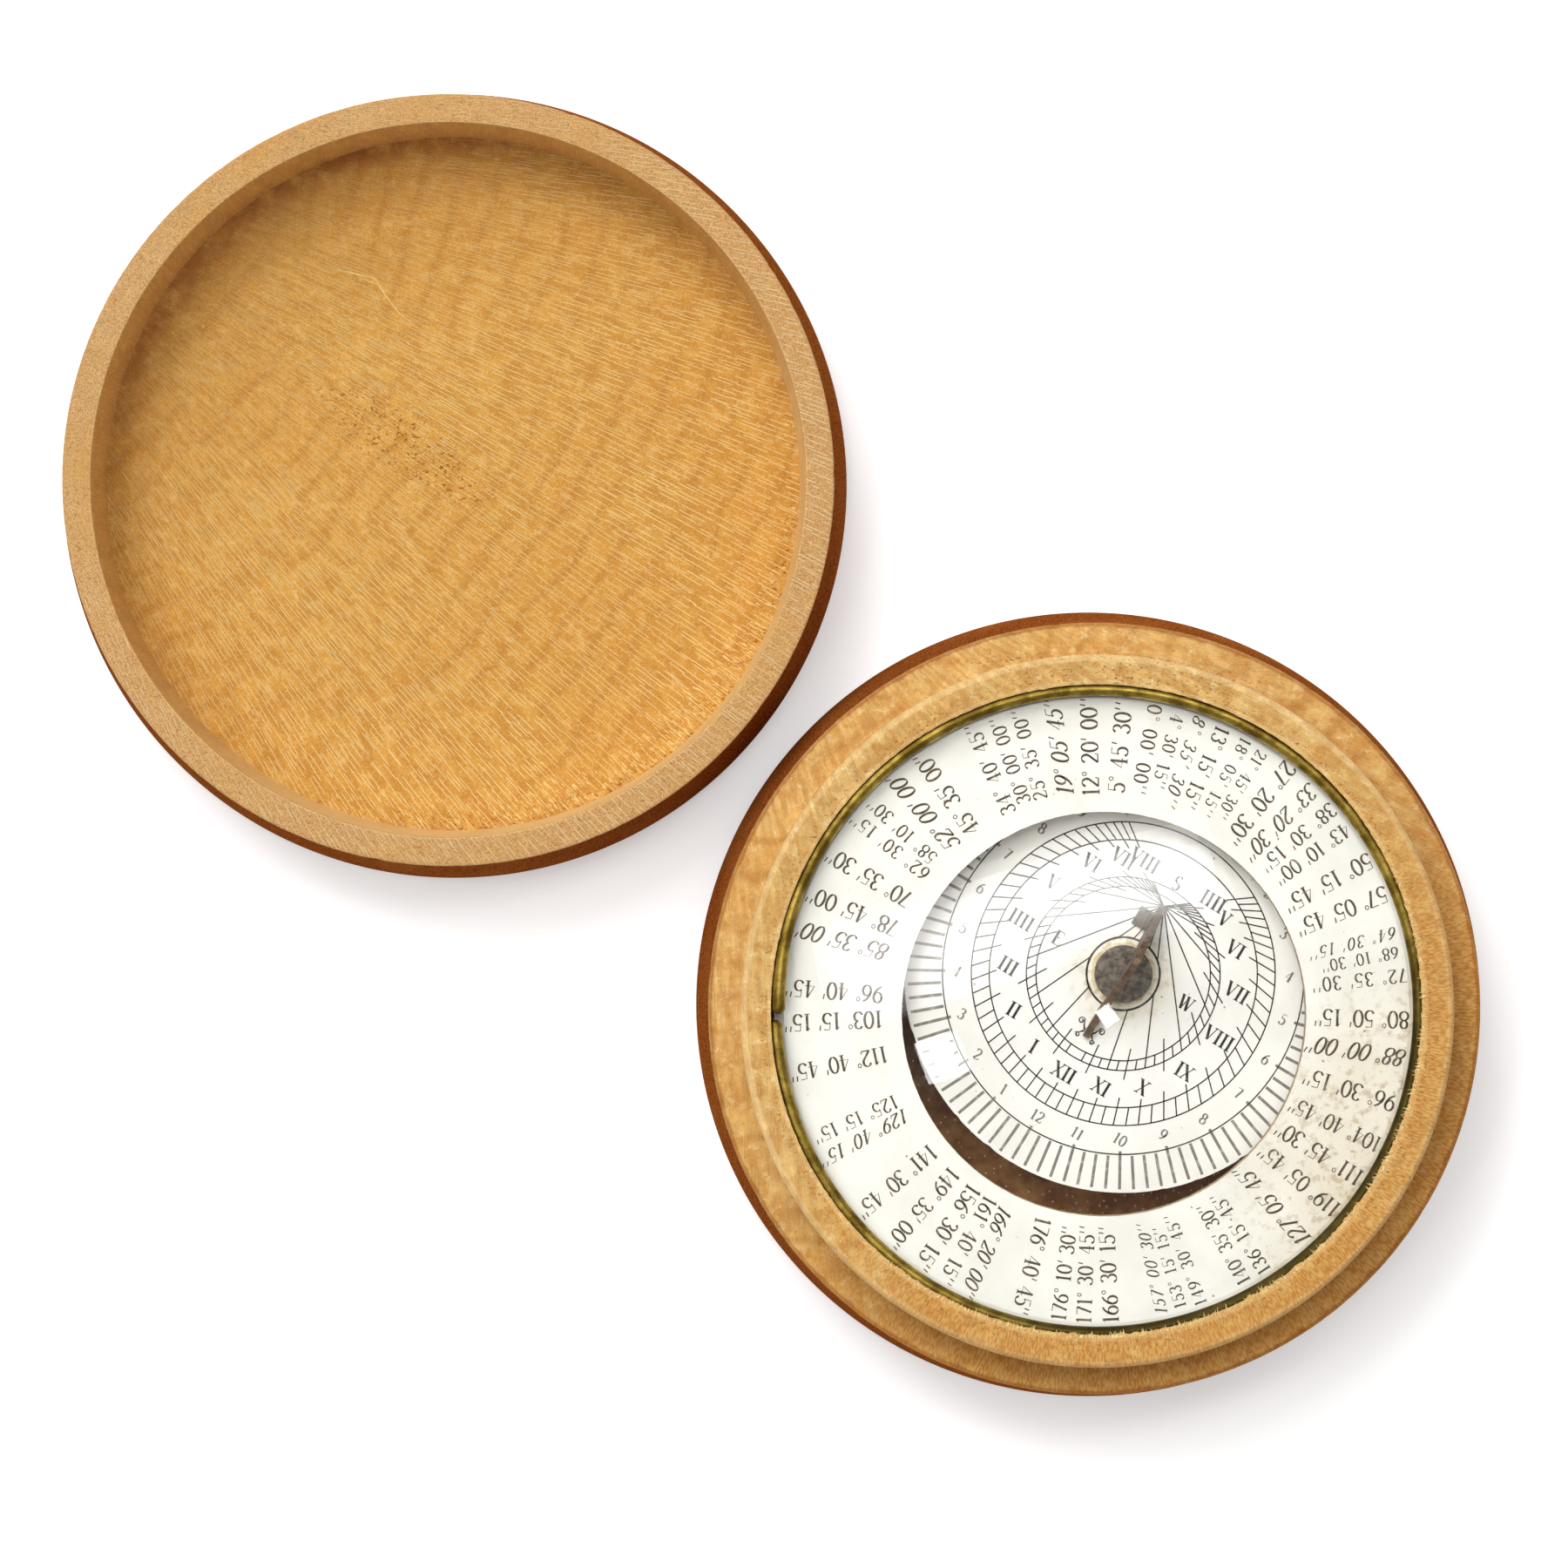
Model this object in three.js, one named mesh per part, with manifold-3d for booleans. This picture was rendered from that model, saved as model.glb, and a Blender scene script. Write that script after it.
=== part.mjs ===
// A pocket pantochronometer: a turned boxwood case with a loose lid, a fixed ring of printed figures
// under a domed glass, and a compass card that carries a sundial and its gnomon on a steel point.
// Millimetres, +Z up. The origin is the centre of the case's foot. The lid lies upside down beside the case.
import * as THREE from "three";
import { mergeVertices } from "three/addons/utils/BufferGeometryUtils.js";
import Module from "manifold-3d";

const wasm = await Module();
wasm.setup();

// Compass card
const cardRadius = 16.1;
const cardPrintThickness = 0.15;
const cardBoardThickness = 0.6;
const cardBoardInset = 0.2;
const cardRunningGap = 1.0;
const cardDrop = 1.2;
const northBearing = -121;

// Where the card stands off the case's axis, because its old pin leans
const pinLeanX = 2.1;
const pinLeanY = 2.6;

// Case, from the bowl outwards
const shelfWidth = 3.4;
const neckWall = 2.2;
const ledgeWidth = 2.45;
const bulge = 1.0;
const bulgeHeight = 5.7;
const footInset = 4.0;
const baseHeight = 12.5;
const neckHeight = 4.9;
const neckChamfer = 0.3;
const floorThickness = 4.0;

// Lid
const lidHeight = 12.5;
const lidTopThickness = 3.5;
const lidFitClearance = 0.35;
const lidRimChamfer = 0.2;
const lidCoveWidth = 0.9;
const lidCoveHeight = 2.6;
const lidGap = 2.6;
const lidBearing = 140.7;

// Glass and the split wire that holds it
const glassThickness = 1.0;
const glassRise = 4.4;
const glassSeatBand = 0.8;
const glassClearance = 0.3;
const glassPlay = 0.1;
const wireDiameter = 0.95;
const wireDrop = 0.6;
const wireInset = 0.35;
const wireSplitBearing = 181;
const wireSplitAngle = 2.4;
const wireLift = 0.45;
const wireLiftAngle = 24;
const grooveClearance = 0.15;

// Printed ring and its board
const ringPrintThickness = 0.2;
const ringBoardThickness = 1.0;
const ringClearance = 0.25;
const ringOverlap = 1.35;
const openingShiftX = 0.55;
const openingShiftY = -0.27;

// Bowl linings
const liningThickness = 0.3;
const liningClearance = 0.2;

// Pivot
const bushRadius = 1.8;
const bushDepth = 2.0;
const bushFlangeRadius = 2.8;
const bushFlangeThickness = 0.6;
const pinRadius = 0.45;
const pinTipRadius = 0.06;
const pinTaperLength = 3.2;
const pinClearance = 0.12;

// Cap, jewel and washer
const capHeadRadius = 2.12;
const capHeadChamfer = 0.25;
const capBodyRadius = 1.55;
const capBoreRadius = 1.15;
const capCrown = 0.4;
const capTail = 0.25;
const jewelHeight = 1.2;
const jewelConeDepth = 0.9;
const jewelConeRadius = 0.8;
const jewelTop = 0.75;
const washerRadius = 2.35;
const washerThickness = 0.3;
const fitClearance = 0.15;

// Magnet and rivets
const magnetEdgeGap = 3.1;
const magnetHalfWidth = 1.5;
const magnetThickness = 0.85;
const magnetTipLength = 2.5;
const magnetEyeWall = 1.2;
const rivetFromTip = 2.0;
const rivetRadius = 0.55;
const rivetHeadRadius = 1.05;
const rivetHeadThickness = 0.4;

// Gnomon, its foot and the wax drop that balances them
const latitude = 51.5;
const gnomonSouth = 5.8;
const gnomonNorth = 5.4;
const gnomonThickness = 0.5;
const gnomonHeadroom = 0.7;
const gnomonToe = 0.7;
const gnomonTop = 0.5;
const footLength = 1.5;
const footWidth = 1.1;
const footThickness = 0.25;
const footUpright = 0.9;
const footSetback = 0.8;
const waxRadius = 1.6;
const waxHeight = 1.2;
const waxFromTip = 1.0;

// Facets
const turnedFacets = 56;
const smallFacets = 16;
const wireFacets = 8;
const wireSteps = 60;

// Sizes that follow
const cardOffset = Math.hypot(pinLeanX, pinLeanY);
const bowlRadius = cardOffset + cardRadius + cardRunningGap;
const boreRadius = bowlRadius + shelfWidth;
const neckRadius = boreRadius + neckWall;
const rimRadius = neckRadius + ledgeWidth;
const footRadius = rimRadius - footInset;
const openingRadius = cardRadius - ringOverlap;
const neckTopZ = baseHeight + neckHeight;
const wireRadius = wireDiameter / 2;
const wireZ = neckTopZ - wireDrop;
const wireCentreRadius = boreRadius - wireInset;
const glassRadius = boreRadius - glassClearance;
const glassSeatZ = wireZ - wireRadius - glassPlay - glassThickness;
const domeRadius = (glassRadius ** 2 + glassRise ** 2) / (2 * glassRise);
const ringBoardTopZ = glassSeatZ - ringPrintThickness;
const shelfZ = ringBoardTopZ - ringBoardThickness;
const cardTopZ = shelfZ - cardDrop;
const liningTopZ = floorThickness + liningThickness;
const bushTopZ = floorThickness + bushFlangeThickness;
const lidDistance = 2 * (rimRadius + bulge) + lidGap;

// Card heights are counted from the printed face
const boardTop = -cardPrintThickness;
const boardBottom = boardTop - cardBoardThickness;
const magnetBottom = boardBottom - magnetThickness;
const jewelBottom = jewelTop - jewelHeight;
const pivotHeight = jewelBottom + jewelConeDepth;
const capHoleRadius = capBodyRadius + fitClearance;
const capTopHeight = jewelTop + fitClearance + capCrown;
const eyeRadius = washerRadius + fitClearance * 2;
const magnetHalfLength = cardRadius - magnetEdgeGap;
const rivetPlace = magnetHalfLength - magnetTipLength - rivetFromTip;
const waxPlace = magnetHalfLength - waxFromTip;
const waxSide = -(magnetHalfWidth + waxRadius + fitClearance);
const pinTipZ = cardTopZ + pivotHeight - pinClearance;
const domeDropAtGnomon = (cardOffset + gnomonSouth) ** 2 / (2 * domeRadius);
const gnomonHeight = glassSeatZ + glassRise - domeDropAtGnomon - cardTopZ - gnomonHeadroom;
const archRadius = Math.hypot(capHeadRadius, capTopHeight) + fitClearance;

const radians = THREE.MathUtils.degToRad;

// Materials
function material(color, roughness, metalness = 0) {
  return new THREE.MeshStandardMaterial({ color, roughness, metalness });
}

const boxwood = () => material(0xc9964f, 0.5);
const brass = () => material(0x9a8438, 0.35, 1);
const steel = () => material(0x8c8f94, 0.35, 1);
const paper = () => material(0xe8e4da, 0.9);
const pasteboard = () => material(0xb9a37c, 0.9);
const brownPaper = () => material(0x4a3019, 0.85);
const glass = () => new THREE.MeshStandardMaterial({
  color: 0xf4f8f6,
  roughness: 0.05,
  transparent: true,
  opacity: 0.3,
});
const brownedBrass = () => material(0x6a4526, 0.6, 0.6);
const agate = () => material(0x5d3a30, 0.25);
const sealingWax = () => material(0x7a2418, 0.5);

// Geometry helpers

// A solid of revolution about Z from [radius, height] points, from the axis round to the axis, or a closed loop
function turned(points, facets = turnedFacets) {
  const profile = points.map(([r, z]) => new THREE.Vector2(r, z));
  return new THREE.LatheGeometry(profile, facets).rotateX(Math.PI / 2);
}

// A flat ring or tube of revolution
function turnedRing(inner, outer, low, high, facets = turnedFacets) {
  return turned([[inner, low], [outer, low], [outer, high], [inner, high], [inner, low]], facets);
}

// Points on an ellipse's arc in the profile plane, angles in degrees from +radius towards +height
function arc(centreR, centreZ, radiusR, radiusZ, from, to, steps) {
  return Array.from({ length: steps + 1 }, (_, i) => {
    const a = radians(from + ((to - from) * i) / steps);
    return [centreR + radiusR * Math.cos(a), centreZ + radiusZ * Math.sin(a)];
  });
}

function circlePoints(radius, facets, x = 0, y = 0) {
  return Array.from({ length: facets }, (_, i) => {
    const a = (i / facets) * Math.PI * 2;
    return new THREE.Vector2(x + radius * Math.cos(a), y + radius * Math.sin(a));
  });
}

function roundHole(radius, y = 0) {
  return new THREE.Path(circlePoints(radius, smallFacets, 0, y));
}

// A flat plate from an outline and holes, its lower face at the given height
function plate(outline, holes, low, thickness) {
  outline.holes.push(...holes);
  const options = { depth: thickness, bevelEnabled: false, curveSegments: smallFacets / 2 };
  return new THREE.ExtrudeGeometry(outline, options).translate(0, 0, low);
}

function discOutline(radius) {
  return new THREE.Shape(circlePoints(radius, turnedFacets));
}

function toSolid(geometry) {
  const bare = geometry.clone();
  bare.deleteAttribute("normal");
  bare.deleteAttribute("uv");
  const merged = mergeVertices(bare, 1e-4);
  const corners = [];
  const index = merged.index.array;
  for (let i = 0; i < index.length; i += 3) {
    const [a, b, c] = [index[i], index[i + 1], index[i + 2]];
    if (a !== b && b !== c && c !== a) corners.push(a, b, c);
  }
  const vertProperties = merged.attributes.position.array;
  return new wasm.Manifold(new wasm.Mesh({ numProp: 3, vertProperties, triVerts: new Uint32Array(corners) }));
}

function toGeometry(solid) {
  const mesh = solid.getMesh();
  return new THREE.BufferGeometry()
    .setAttribute("position", new THREE.BufferAttribute(mesh.vertProperties, 3))
    .setIndex(new THREE.BufferAttribute(mesh.triVerts, 1));
}

function addMesh(group, name, geometry, surface) {
  const mesh = new THREE.Mesh(geometry, surface);
  mesh.name = name;
  group.add(mesh);
  return mesh;
}

// The swelling outer wall that the case and the lid share, from the foot up to the rim
function outerWall(height) {
  const widest = rimRadius + bulge;
  const rise = height - bulgeHeight;
  const swellRadius = (rise ** 2 + bulge ** 2) / (2 * bulge);
  const swellAngle = THREE.MathUtils.radToDeg(Math.asin(rise / swellRadius));
  const roundOver = arc(footRadius, bulgeHeight, widest - footRadius, bulgeHeight, -90, 0, 6);
  const swell = arc(widest - swellRadius, bulgeHeight, swellRadius, swellRadius, 0, swellAngle, 3);
  return [...roundOver, ...swell.slice(1)];
}

// Case

function baseCase() {
  const grooveRadius = wireRadius + grooveClearance;
  const grooveReach = grooveRadius - wireInset;
  const grooveHalf = Math.sqrt(grooveRadius ** 2 - wireInset ** 2);
  const seatRadius = bushRadius + fitClearance;
  return turned([
    [0, 0],
    ...outerWall(baseHeight),
    [neckRadius, baseHeight],
    [neckRadius, neckTopZ - neckChamfer],
    [neckRadius - neckChamfer, neckTopZ],
    [boreRadius, neckTopZ],
    [boreRadius, wireZ + grooveHalf],
    [boreRadius + grooveReach, wireZ],
    [boreRadius, wireZ - grooveHalf],
    [boreRadius, shelfZ],
    [bowlRadius, shelfZ],
    [bowlRadius, floorThickness],
    [seatRadius, floorThickness],
    [seatRadius, floorThickness - bushDepth],
    [0, floorThickness - bushDepth],
  ]);
}

function lidShell() {
  const innerRadius = neckRadius + lidFitClearance;
  const coveTopZ = lidTopThickness + lidCoveHeight;
  const coveRadius = innerRadius - lidCoveWidth;
  return turned([
    [0, 0],
    ...outerWall(lidHeight),
    [innerRadius + lidRimChamfer, lidHeight],
    [innerRadius, lidHeight - lidRimChamfer],
    ...arc(coveRadius, coveTopZ, lidCoveWidth, lidCoveHeight, 0, -90, 5),
    [0, lidTopThickness],
  ]);
}

// The split wire runs almost all the way round, and its upper end has sprung out of the groove
class SplitWire extends THREE.Curve {
  getPoint(t, target = new THREE.Vector3()) {
    const turn = wireSplitAngle / 2 + (360 - wireSplitAngle) * t;
    const bearing = radians(wireSplitBearing + turn);
    const fromEnd = 360 - wireSplitAngle / 2 - turn;
    const lift = wireLift * (1 - THREE.MathUtils.smoothstep(fromEnd, 0, wireLiftAngle));
    const radius = wireCentreRadius - lift / 2;
    return target.set(radius * Math.cos(bearing), radius * Math.sin(bearing), wireZ + lift);
  }
}

function retainingRing() {
  const section = Array.from({ length: wireFacets }, (_, i) => {
    const a = ((i + 0.5) / wireFacets) * Math.PI * 2;
    return new THREE.Vector2(wireRadius * Math.cos(a), wireRadius * Math.sin(a));
  });
  const options = { steps: wireSteps, bevelEnabled: false, extrudePath: new SplitWire() };
  return new THREE.ExtrudeGeometry(new THREE.Shape(section), options);
}

function coverGlass() {
  const edgeTopZ = glassSeatZ + glassThickness;
  const innerEdge = glassRadius - glassSeatBand;
  const innerRadius = (innerEdge ** 2 + glassRise ** 2) / (2 * glassRise);
  const innerSpan = THREE.MathUtils.radToDeg(Math.asin(innerEdge / innerRadius));
  const outerSpan = THREE.MathUtils.radToDeg(Math.asin(glassRadius / domeRadius));
  const innerCentreZ = glassSeatZ + glassRise - innerRadius;
  const outerCentreZ = edgeTopZ + glassRise - domeRadius;
  const inside = arc(0, innerCentreZ, innerRadius, innerRadius, 90, 90 - innerSpan, 6);
  const outside = arc(0, outerCentreZ, domeRadius, domeRadius, 90 - outerSpan, 90, 6);
  return turned([
    [0, inside[0][1]],
    ...inside.slice(1),
    [glassRadius, glassSeatZ],
    ...outside.slice(0, -1),
    [0, edgeTopZ + glassRise],
  ]);
}

function ringPlate(low, thickness) {
  const opening = circlePoints(openingRadius, turnedFacets, openingShiftX, openingShiftY);
  return plate(discOutline(boreRadius - ringClearance), [new THREE.Path(opening)], low, thickness);
}

function bushShape() {
  const holeRadius = pinRadius + fitClearance;
  const bottomZ = floorThickness - bushDepth;
  return turned([
    [0, bottomZ],
    [bushRadius, bottomZ],
    [bushRadius, floorThickness],
    [bushFlangeRadius, floorThickness],
    [bushFlangeRadius, bushTopZ],
    [holeRadius, bushTopZ],
    [holeRadius, bottomZ + fitClearance],
    [0, bottomZ + fitClearance],
  ], smallFacets);
}

// The pin stands upright in its bush, then leans over to the card's centre and ends in a point
function pivotPin() {
  const footZ = floorThickness - bushDepth + fitClearance;
  const bend = new THREE.Vector3(0, 0, bushTopZ + pinRadius);
  const tip = new THREE.Vector3(pinLeanX, pinLeanY, pinTipZ);
  const lean = tip.clone().sub(bend);
  const shaft = turned([
    [0, 0],
    [pinRadius, 0],
    [pinRadius, lean.length() - pinTaperLength],
    [pinTipRadius, lean.length()],
    [0, lean.length()],
  ], smallFacets);
  const up = new THREE.Vector3(0, 0, 1);
  shaft.applyQuaternion(new THREE.Quaternion().setFromUnitVectors(up, lean.clone().normalize()));
  shaft.translate(bend.x, bend.y, bend.z);
  const foot = turned([[0, footZ], [pinRadius, footZ], [pinRadius, bend.z], [0, bend.z]], smallFacets);
  const knee = new THREE.SphereGeometry(pinRadius, smallFacets, smallFacets / 2).translate(bend.x, bend.y, bend.z);
  return toGeometry(toSolid(foot).add(toSolid(knee)).add(toSolid(shaft)));
}

// Card, in its own frame: +Y north, +X east, height 0 at the printed face

function magnetBar() {
  const eyeOuter = eyeRadius + magnetEyeWall;
  const joinAngle = Math.asin(magnetHalfWidth / eyeOuter);
  const straightEnd = magnetHalfLength - magnetTipLength;
  const outline = new THREE.Shape();
  outline.moveTo(0, magnetHalfLength);
  outline.lineTo(-magnetHalfWidth, straightEnd);
  outline.absarc(0, 0, eyeOuter, Math.PI / 2 + joinAngle, -Math.PI / 2 - joinAngle + Math.PI * 2, false);
  outline.lineTo(-magnetHalfWidth, -straightEnd);
  outline.lineTo(0, -magnetHalfLength);
  outline.lineTo(magnetHalfWidth, -straightEnd);
  outline.absarc(0, 0, eyeOuter, -Math.PI / 2 + joinAngle, Math.PI / 2 - joinAngle, false);
  outline.lineTo(magnetHalfWidth, straightEnd);
  const rivetHole = rivetRadius + fitClearance;
  const holes = [roundHole(eyeRadius), roundHole(rivetHole, rivetPlace), roundHole(rivetHole, -rivetPlace)];
  return plate(outline, holes, magnetBottom, magnetThickness);
}

function cardBoard() {
  const rivetHole = rivetRadius + fitClearance;
  const holes = [roundHole(capHoleRadius), roundHole(rivetHole, rivetPlace), roundHole(rivetHole, -rivetPlace)];
  return plate(discOutline(cardRadius - cardBoardInset), holes, boardBottom, cardBoardThickness);
}

function cardPrint() {
  return plate(discOutline(cardRadius), [roundHole(capHoleRadius)], boardTop, cardPrintThickness);
}

function pivotCap() {
  const tailZ = boardBottom - washerThickness - capTail;
  const boreTop = jewelTop + fitClearance;
  return turned([
    [0, boreTop],
    [capBoreRadius, boreTop],
    [capBoreRadius, tailZ],
    [capBodyRadius, tailZ],
    [capBodyRadius, 0],
    [capHeadRadius, 0],
    [capHeadRadius, capTopHeight - capHeadChamfer],
    [capHeadRadius - capHeadChamfer, capTopHeight],
    [0, capTopHeight],
  ], smallFacets);
}

function capJewel() {
  const radius = capBoreRadius - fitClearance;
  return turned([
    [0, pivotHeight],
    [jewelConeRadius, jewelBottom],
    [radius, jewelBottom],
    [radius, jewelTop],
    [0, jewelTop],
  ], smallFacets);
}

function rivet(place) {
  const shape = turned([
    [0, magnetBottom - rivetHeadThickness],
    [rivetHeadRadius, magnetBottom - rivetHeadThickness],
    [rivetHeadRadius, magnetBottom],
    [rivetRadius, magnetBottom],
    [rivetRadius, boardTop - cardBoardThickness / 4],
    [0, boardTop - cardBoardThickness / 4],
  ], smallFacets);
  return shape.translate(0, place, 0);
}

// Turns a plate drawn as (along north, height) upright, so that its thickness runs towards east
function standUpright(geometry) {
  const north = new THREE.Vector3(0, 1, 0);
  const height = new THREE.Vector3(0, 0, 1);
  const east = new THREE.Vector3(1, 0, 0);
  return geometry.applyMatrix4(new THREE.Matrix4().makeBasis(north, height, east));
}

// The sloping edge rises from the south foot at the latitude's angle, and an ogee falls to the north toe
function gnomonPlate() {
  const styleRun = gnomonHeight / Math.tan(radians(latitude));
  const topSouth = -gnomonSouth + styleRun;
  const topNorth = topSouth + gnomonTop;
  const fall = gnomonNorth - topNorth;
  const outline = new THREE.Shape();
  outline.moveTo(-gnomonSouth, 0);
  outline.lineTo(-archRadius, 0);
  outline.absarc(0, 0, archRadius, Math.PI, 0, true);
  outline.lineTo(gnomonNorth, 0);
  outline.lineTo(gnomonNorth, gnomonToe);
  const bendIn = [gnomonNorth - fall * 0.45, gnomonToe + 0.1];
  const bendOut = [topNorth + fall * 0.2, gnomonHeight * 0.95];
  outline.bezierCurveTo(...bendIn, ...bendOut, topNorth, gnomonHeight);
  outline.lineTo(topSouth, gnomonHeight);
  const options = { depth: gnomonThickness, bevelEnabled: false, curveSegments: smallFacets / 2 };
  const flat = new THREE.ExtrudeGeometry(outline, options).translate(0, 0, -gnomonThickness / 2);
  return standUpright(flat);
}

// A brass angle beside the plate's south end, drawn as (east, height) and run along north
function gnomonFoot() {
  const outline = new THREE.Shape();
  outline.moveTo(0, 0);
  outline.lineTo(footWidth, 0);
  outline.lineTo(footWidth, footThickness);
  outline.lineTo(footThickness, footThickness);
  outline.lineTo(footThickness, footUpright);
  outline.lineTo(0, footUpright);
  const options = { depth: footLength, bevelEnabled: false };
  const shape = new THREE.ExtrudeGeometry(outline, options).rotateX(Math.PI / 2);
  const northEnd = -gnomonSouth + footSetback + footLength;
  return shape.translate(gnomonThickness / 2 + fitClearance / 2, northEnd, 0);
}

function waxDrop() {
  const drop = arc(0, boardBottom, waxRadius, waxHeight, -90, 0, 4);
  const shape = turned([[0, boardBottom - waxHeight], ...drop.slice(1), [0, boardBottom]], smallFacets);
  return shape.translate(waxSide, waxPlace, 0);
}

// The whole instrument

const pantochronometer = new THREE.Group();

const caseGroup = new THREE.Group();
addMesh(caseGroup, "base_case", baseCase(), boxwood());
addMesh(caseGroup, "retaining_ring", retainingRing(), brass());
addMesh(caseGroup, "cover_glass", coverGlass(), glass());
addMesh(caseGroup, "ring_print", ringPlate(ringBoardTopZ, ringPrintThickness), paper());
addMesh(caseGroup, "ring_board", ringPlate(shelfZ, ringBoardThickness), pasteboard());
const floorHole = bushFlangeRadius + fitClearance;
const liningRadius = bowlRadius - liningClearance;
const floorLining = turnedRing(floorHole, liningRadius, floorThickness, liningTopZ);
addMesh(caseGroup, "bowl_floor_lining", floorLining, brownPaper());
const wallLining = turnedRing(liningRadius - liningThickness, liningRadius, liningTopZ, shelfZ - liningClearance);
addMesh(caseGroup, "bowl_wall_lining", wallLining, brownPaper());
addMesh(caseGroup, "pivot_bush", bushShape(), brass());
addMesh(caseGroup, "pivot_pin", pivotPin(), steel());
pantochronometer.add(caseGroup);

const cardGroup = new THREE.Group();
cardGroup.position.set(pinLeanX, pinLeanY, cardTopZ);
cardGroup.rotation.z = radians(northBearing - 90);
addMesh(cardGroup, "card_print", cardPrint(), paper());
addMesh(cardGroup, "card_board", cardBoard(), pasteboard());
addMesh(cardGroup, "pivot_cap", pivotCap(), brownedBrass());
addMesh(cardGroup, "cap_jewel", capJewel(), agate());
const washer = turnedRing(capHoleRadius, washerRadius, boardBottom - washerThickness, boardBottom, smallFacets);
addMesh(cardGroup, "cap_washer", washer, brass());
addMesh(cardGroup, "magnet_bar", magnetBar(), steel());
addMesh(cardGroup, "magnet_rivet_north", rivet(rivetPlace), brass());
addMesh(cardGroup, "magnet_rivet_south", rivet(-rivetPlace), brass());
addMesh(cardGroup, "gnomon", gnomonPlate(), brownedBrass());
addMesh(cardGroup, "gnomon_foot", gnomonFoot(), brass());
addMesh(cardGroup, "balance_wax", waxDrop(), sealingWax());
pantochronometer.add(cardGroup);

const lidGroup = new THREE.Group();
const lidAngle = radians(lidBearing);
lidGroup.position.set(lidDistance * Math.cos(lidAngle), lidDistance * Math.sin(lidAngle), 0);
addMesh(lidGroup, "lid", lidShell(), boxwood());
pantochronometer.add(lidGroup);

export default pantochronometer;
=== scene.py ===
import math
import random
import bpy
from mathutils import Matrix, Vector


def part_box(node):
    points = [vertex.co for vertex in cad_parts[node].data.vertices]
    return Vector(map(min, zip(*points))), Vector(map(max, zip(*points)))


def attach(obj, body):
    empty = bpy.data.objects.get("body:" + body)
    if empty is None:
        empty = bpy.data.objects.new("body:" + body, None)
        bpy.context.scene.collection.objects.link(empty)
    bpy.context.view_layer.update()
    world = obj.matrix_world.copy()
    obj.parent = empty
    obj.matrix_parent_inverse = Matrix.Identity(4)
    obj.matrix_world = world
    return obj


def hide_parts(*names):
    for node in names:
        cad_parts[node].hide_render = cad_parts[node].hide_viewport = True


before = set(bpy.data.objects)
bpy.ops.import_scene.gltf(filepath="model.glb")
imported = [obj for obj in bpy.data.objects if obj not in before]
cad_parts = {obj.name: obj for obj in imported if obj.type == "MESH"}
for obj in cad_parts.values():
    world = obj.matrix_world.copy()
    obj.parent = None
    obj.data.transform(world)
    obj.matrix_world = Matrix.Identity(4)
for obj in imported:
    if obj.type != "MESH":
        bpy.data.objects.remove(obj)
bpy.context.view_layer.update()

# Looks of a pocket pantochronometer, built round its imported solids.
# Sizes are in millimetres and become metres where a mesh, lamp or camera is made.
from types import SimpleNamespace

import bpy
from mathutils import Vector, noise

MM = 0.001


def disc_mm(node):
    """The centre, the radius and the low and high Z of a round solid, in mm."""
    low, high = (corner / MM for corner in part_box(node))
    return ((low.x + high.x) / 2, (low.y + high.y) / 2), (high.x - low.x) / 2, low.z, high.z


# Sizes that come from the frame
CASE_CENTRE = (0.0, 0.0)
_, WIDEST_R, _, NECK_TOP_Z = disc_mm("base_case")
LID_CENTRE, _, _, LID_RIM_Z = disc_mm("lid")
_, GLASS_R, GLASS_SEAT_Z, GLASS_APEX_Z = disc_mm("cover_glass")
_, RING_R, RING_LOW_Z, RING_TOP_Z = disc_mm("ring_print")
CARD_CENTRE, CARD_R, CARD_LOW_Z, CARD_TOP_Z = disc_mm("card_print")
_, CAP_R, _, CAP_TOP_Z = disc_mm("pivot_cap")

# Turned wood
RIM_R = WIDEST_R - 1.0
SWELL_Z = 4.2
FOOT_R = RIM_R - 4.0
LEDGE_Z = LID_RIM_Z
NECK_R = RIM_R - 2.45
BORE_R = NECK_R - 2.2
BOWL_R = BORE_R - 3.4
SHELF_Z = RING_LOW_Z - 1.0
CASE_FLOOR_Z = 4.0
BUSH_SEAT_R = 1.95
BUSH_SEAT_Z = 2.0
LID_BORE_R = NECK_R + 0.35
LID_FLOOR_Z = 3.5
LID_DRAFT = 0.25
LID_LEAN = 0.25
LID_BED_R = LID_BORE_R - LID_DRAFT
LID_MARGIN = 2.4
ARRIS = 0.12
NECK_FILLET = 0.15
NECK_ROUND = 0.45
NECK_DROP = 0.7
CASE_SEGMENTS = 720
LID_SEGMENTS = 600

# Wear of the wood, and the bearing of a painted shadow
LIP_BEARING = math.radians(-55.0)
LIP_OVERHANG = 0.24
LIP_RAG = 0.16
LIP_WIDTH = 0.4
LIP_ROUND = 0.32
LIP_DROP = 0.03
LIP_DEPTH = 0.06
LIP_FIBRES = 1700
# Bearing of a painted shadow, with some staining, along the lid floor's upper left margin
SHADE_AND_STAIN_BEARING = math.radians(122.0)
TEAR_BEARING = math.radians(-52.0)
FLOOR_FIBRES = 150
MARGIN_FIBRES = 570
LID_SCRATCH = ((-9.6, 16.6), (-7.8, 16.1), (-6.1, 15.7), (-5.2, 14.3), (-4.2, 13.0), (-2.7, 11.9))
SCRATCH_HALF = 0.06

# Split wire
WIRE_RADIUS = 0.475
WIRE_Z = NECK_TOP_Z - 0.6
WIRE_RING_R = BORE_R - 0.35
WIRE_SPLIT_BEARING = 181.0
WIRE_SPLIT_ANGLE = 1.0
WIRE_LIFT = 0.45
WIRE_LIFT_ANGLE = 24.0
WIRE_STEPS = 540
GROOVE_REACH = 0.275
GROOVE_HALF = 0.518

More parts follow.
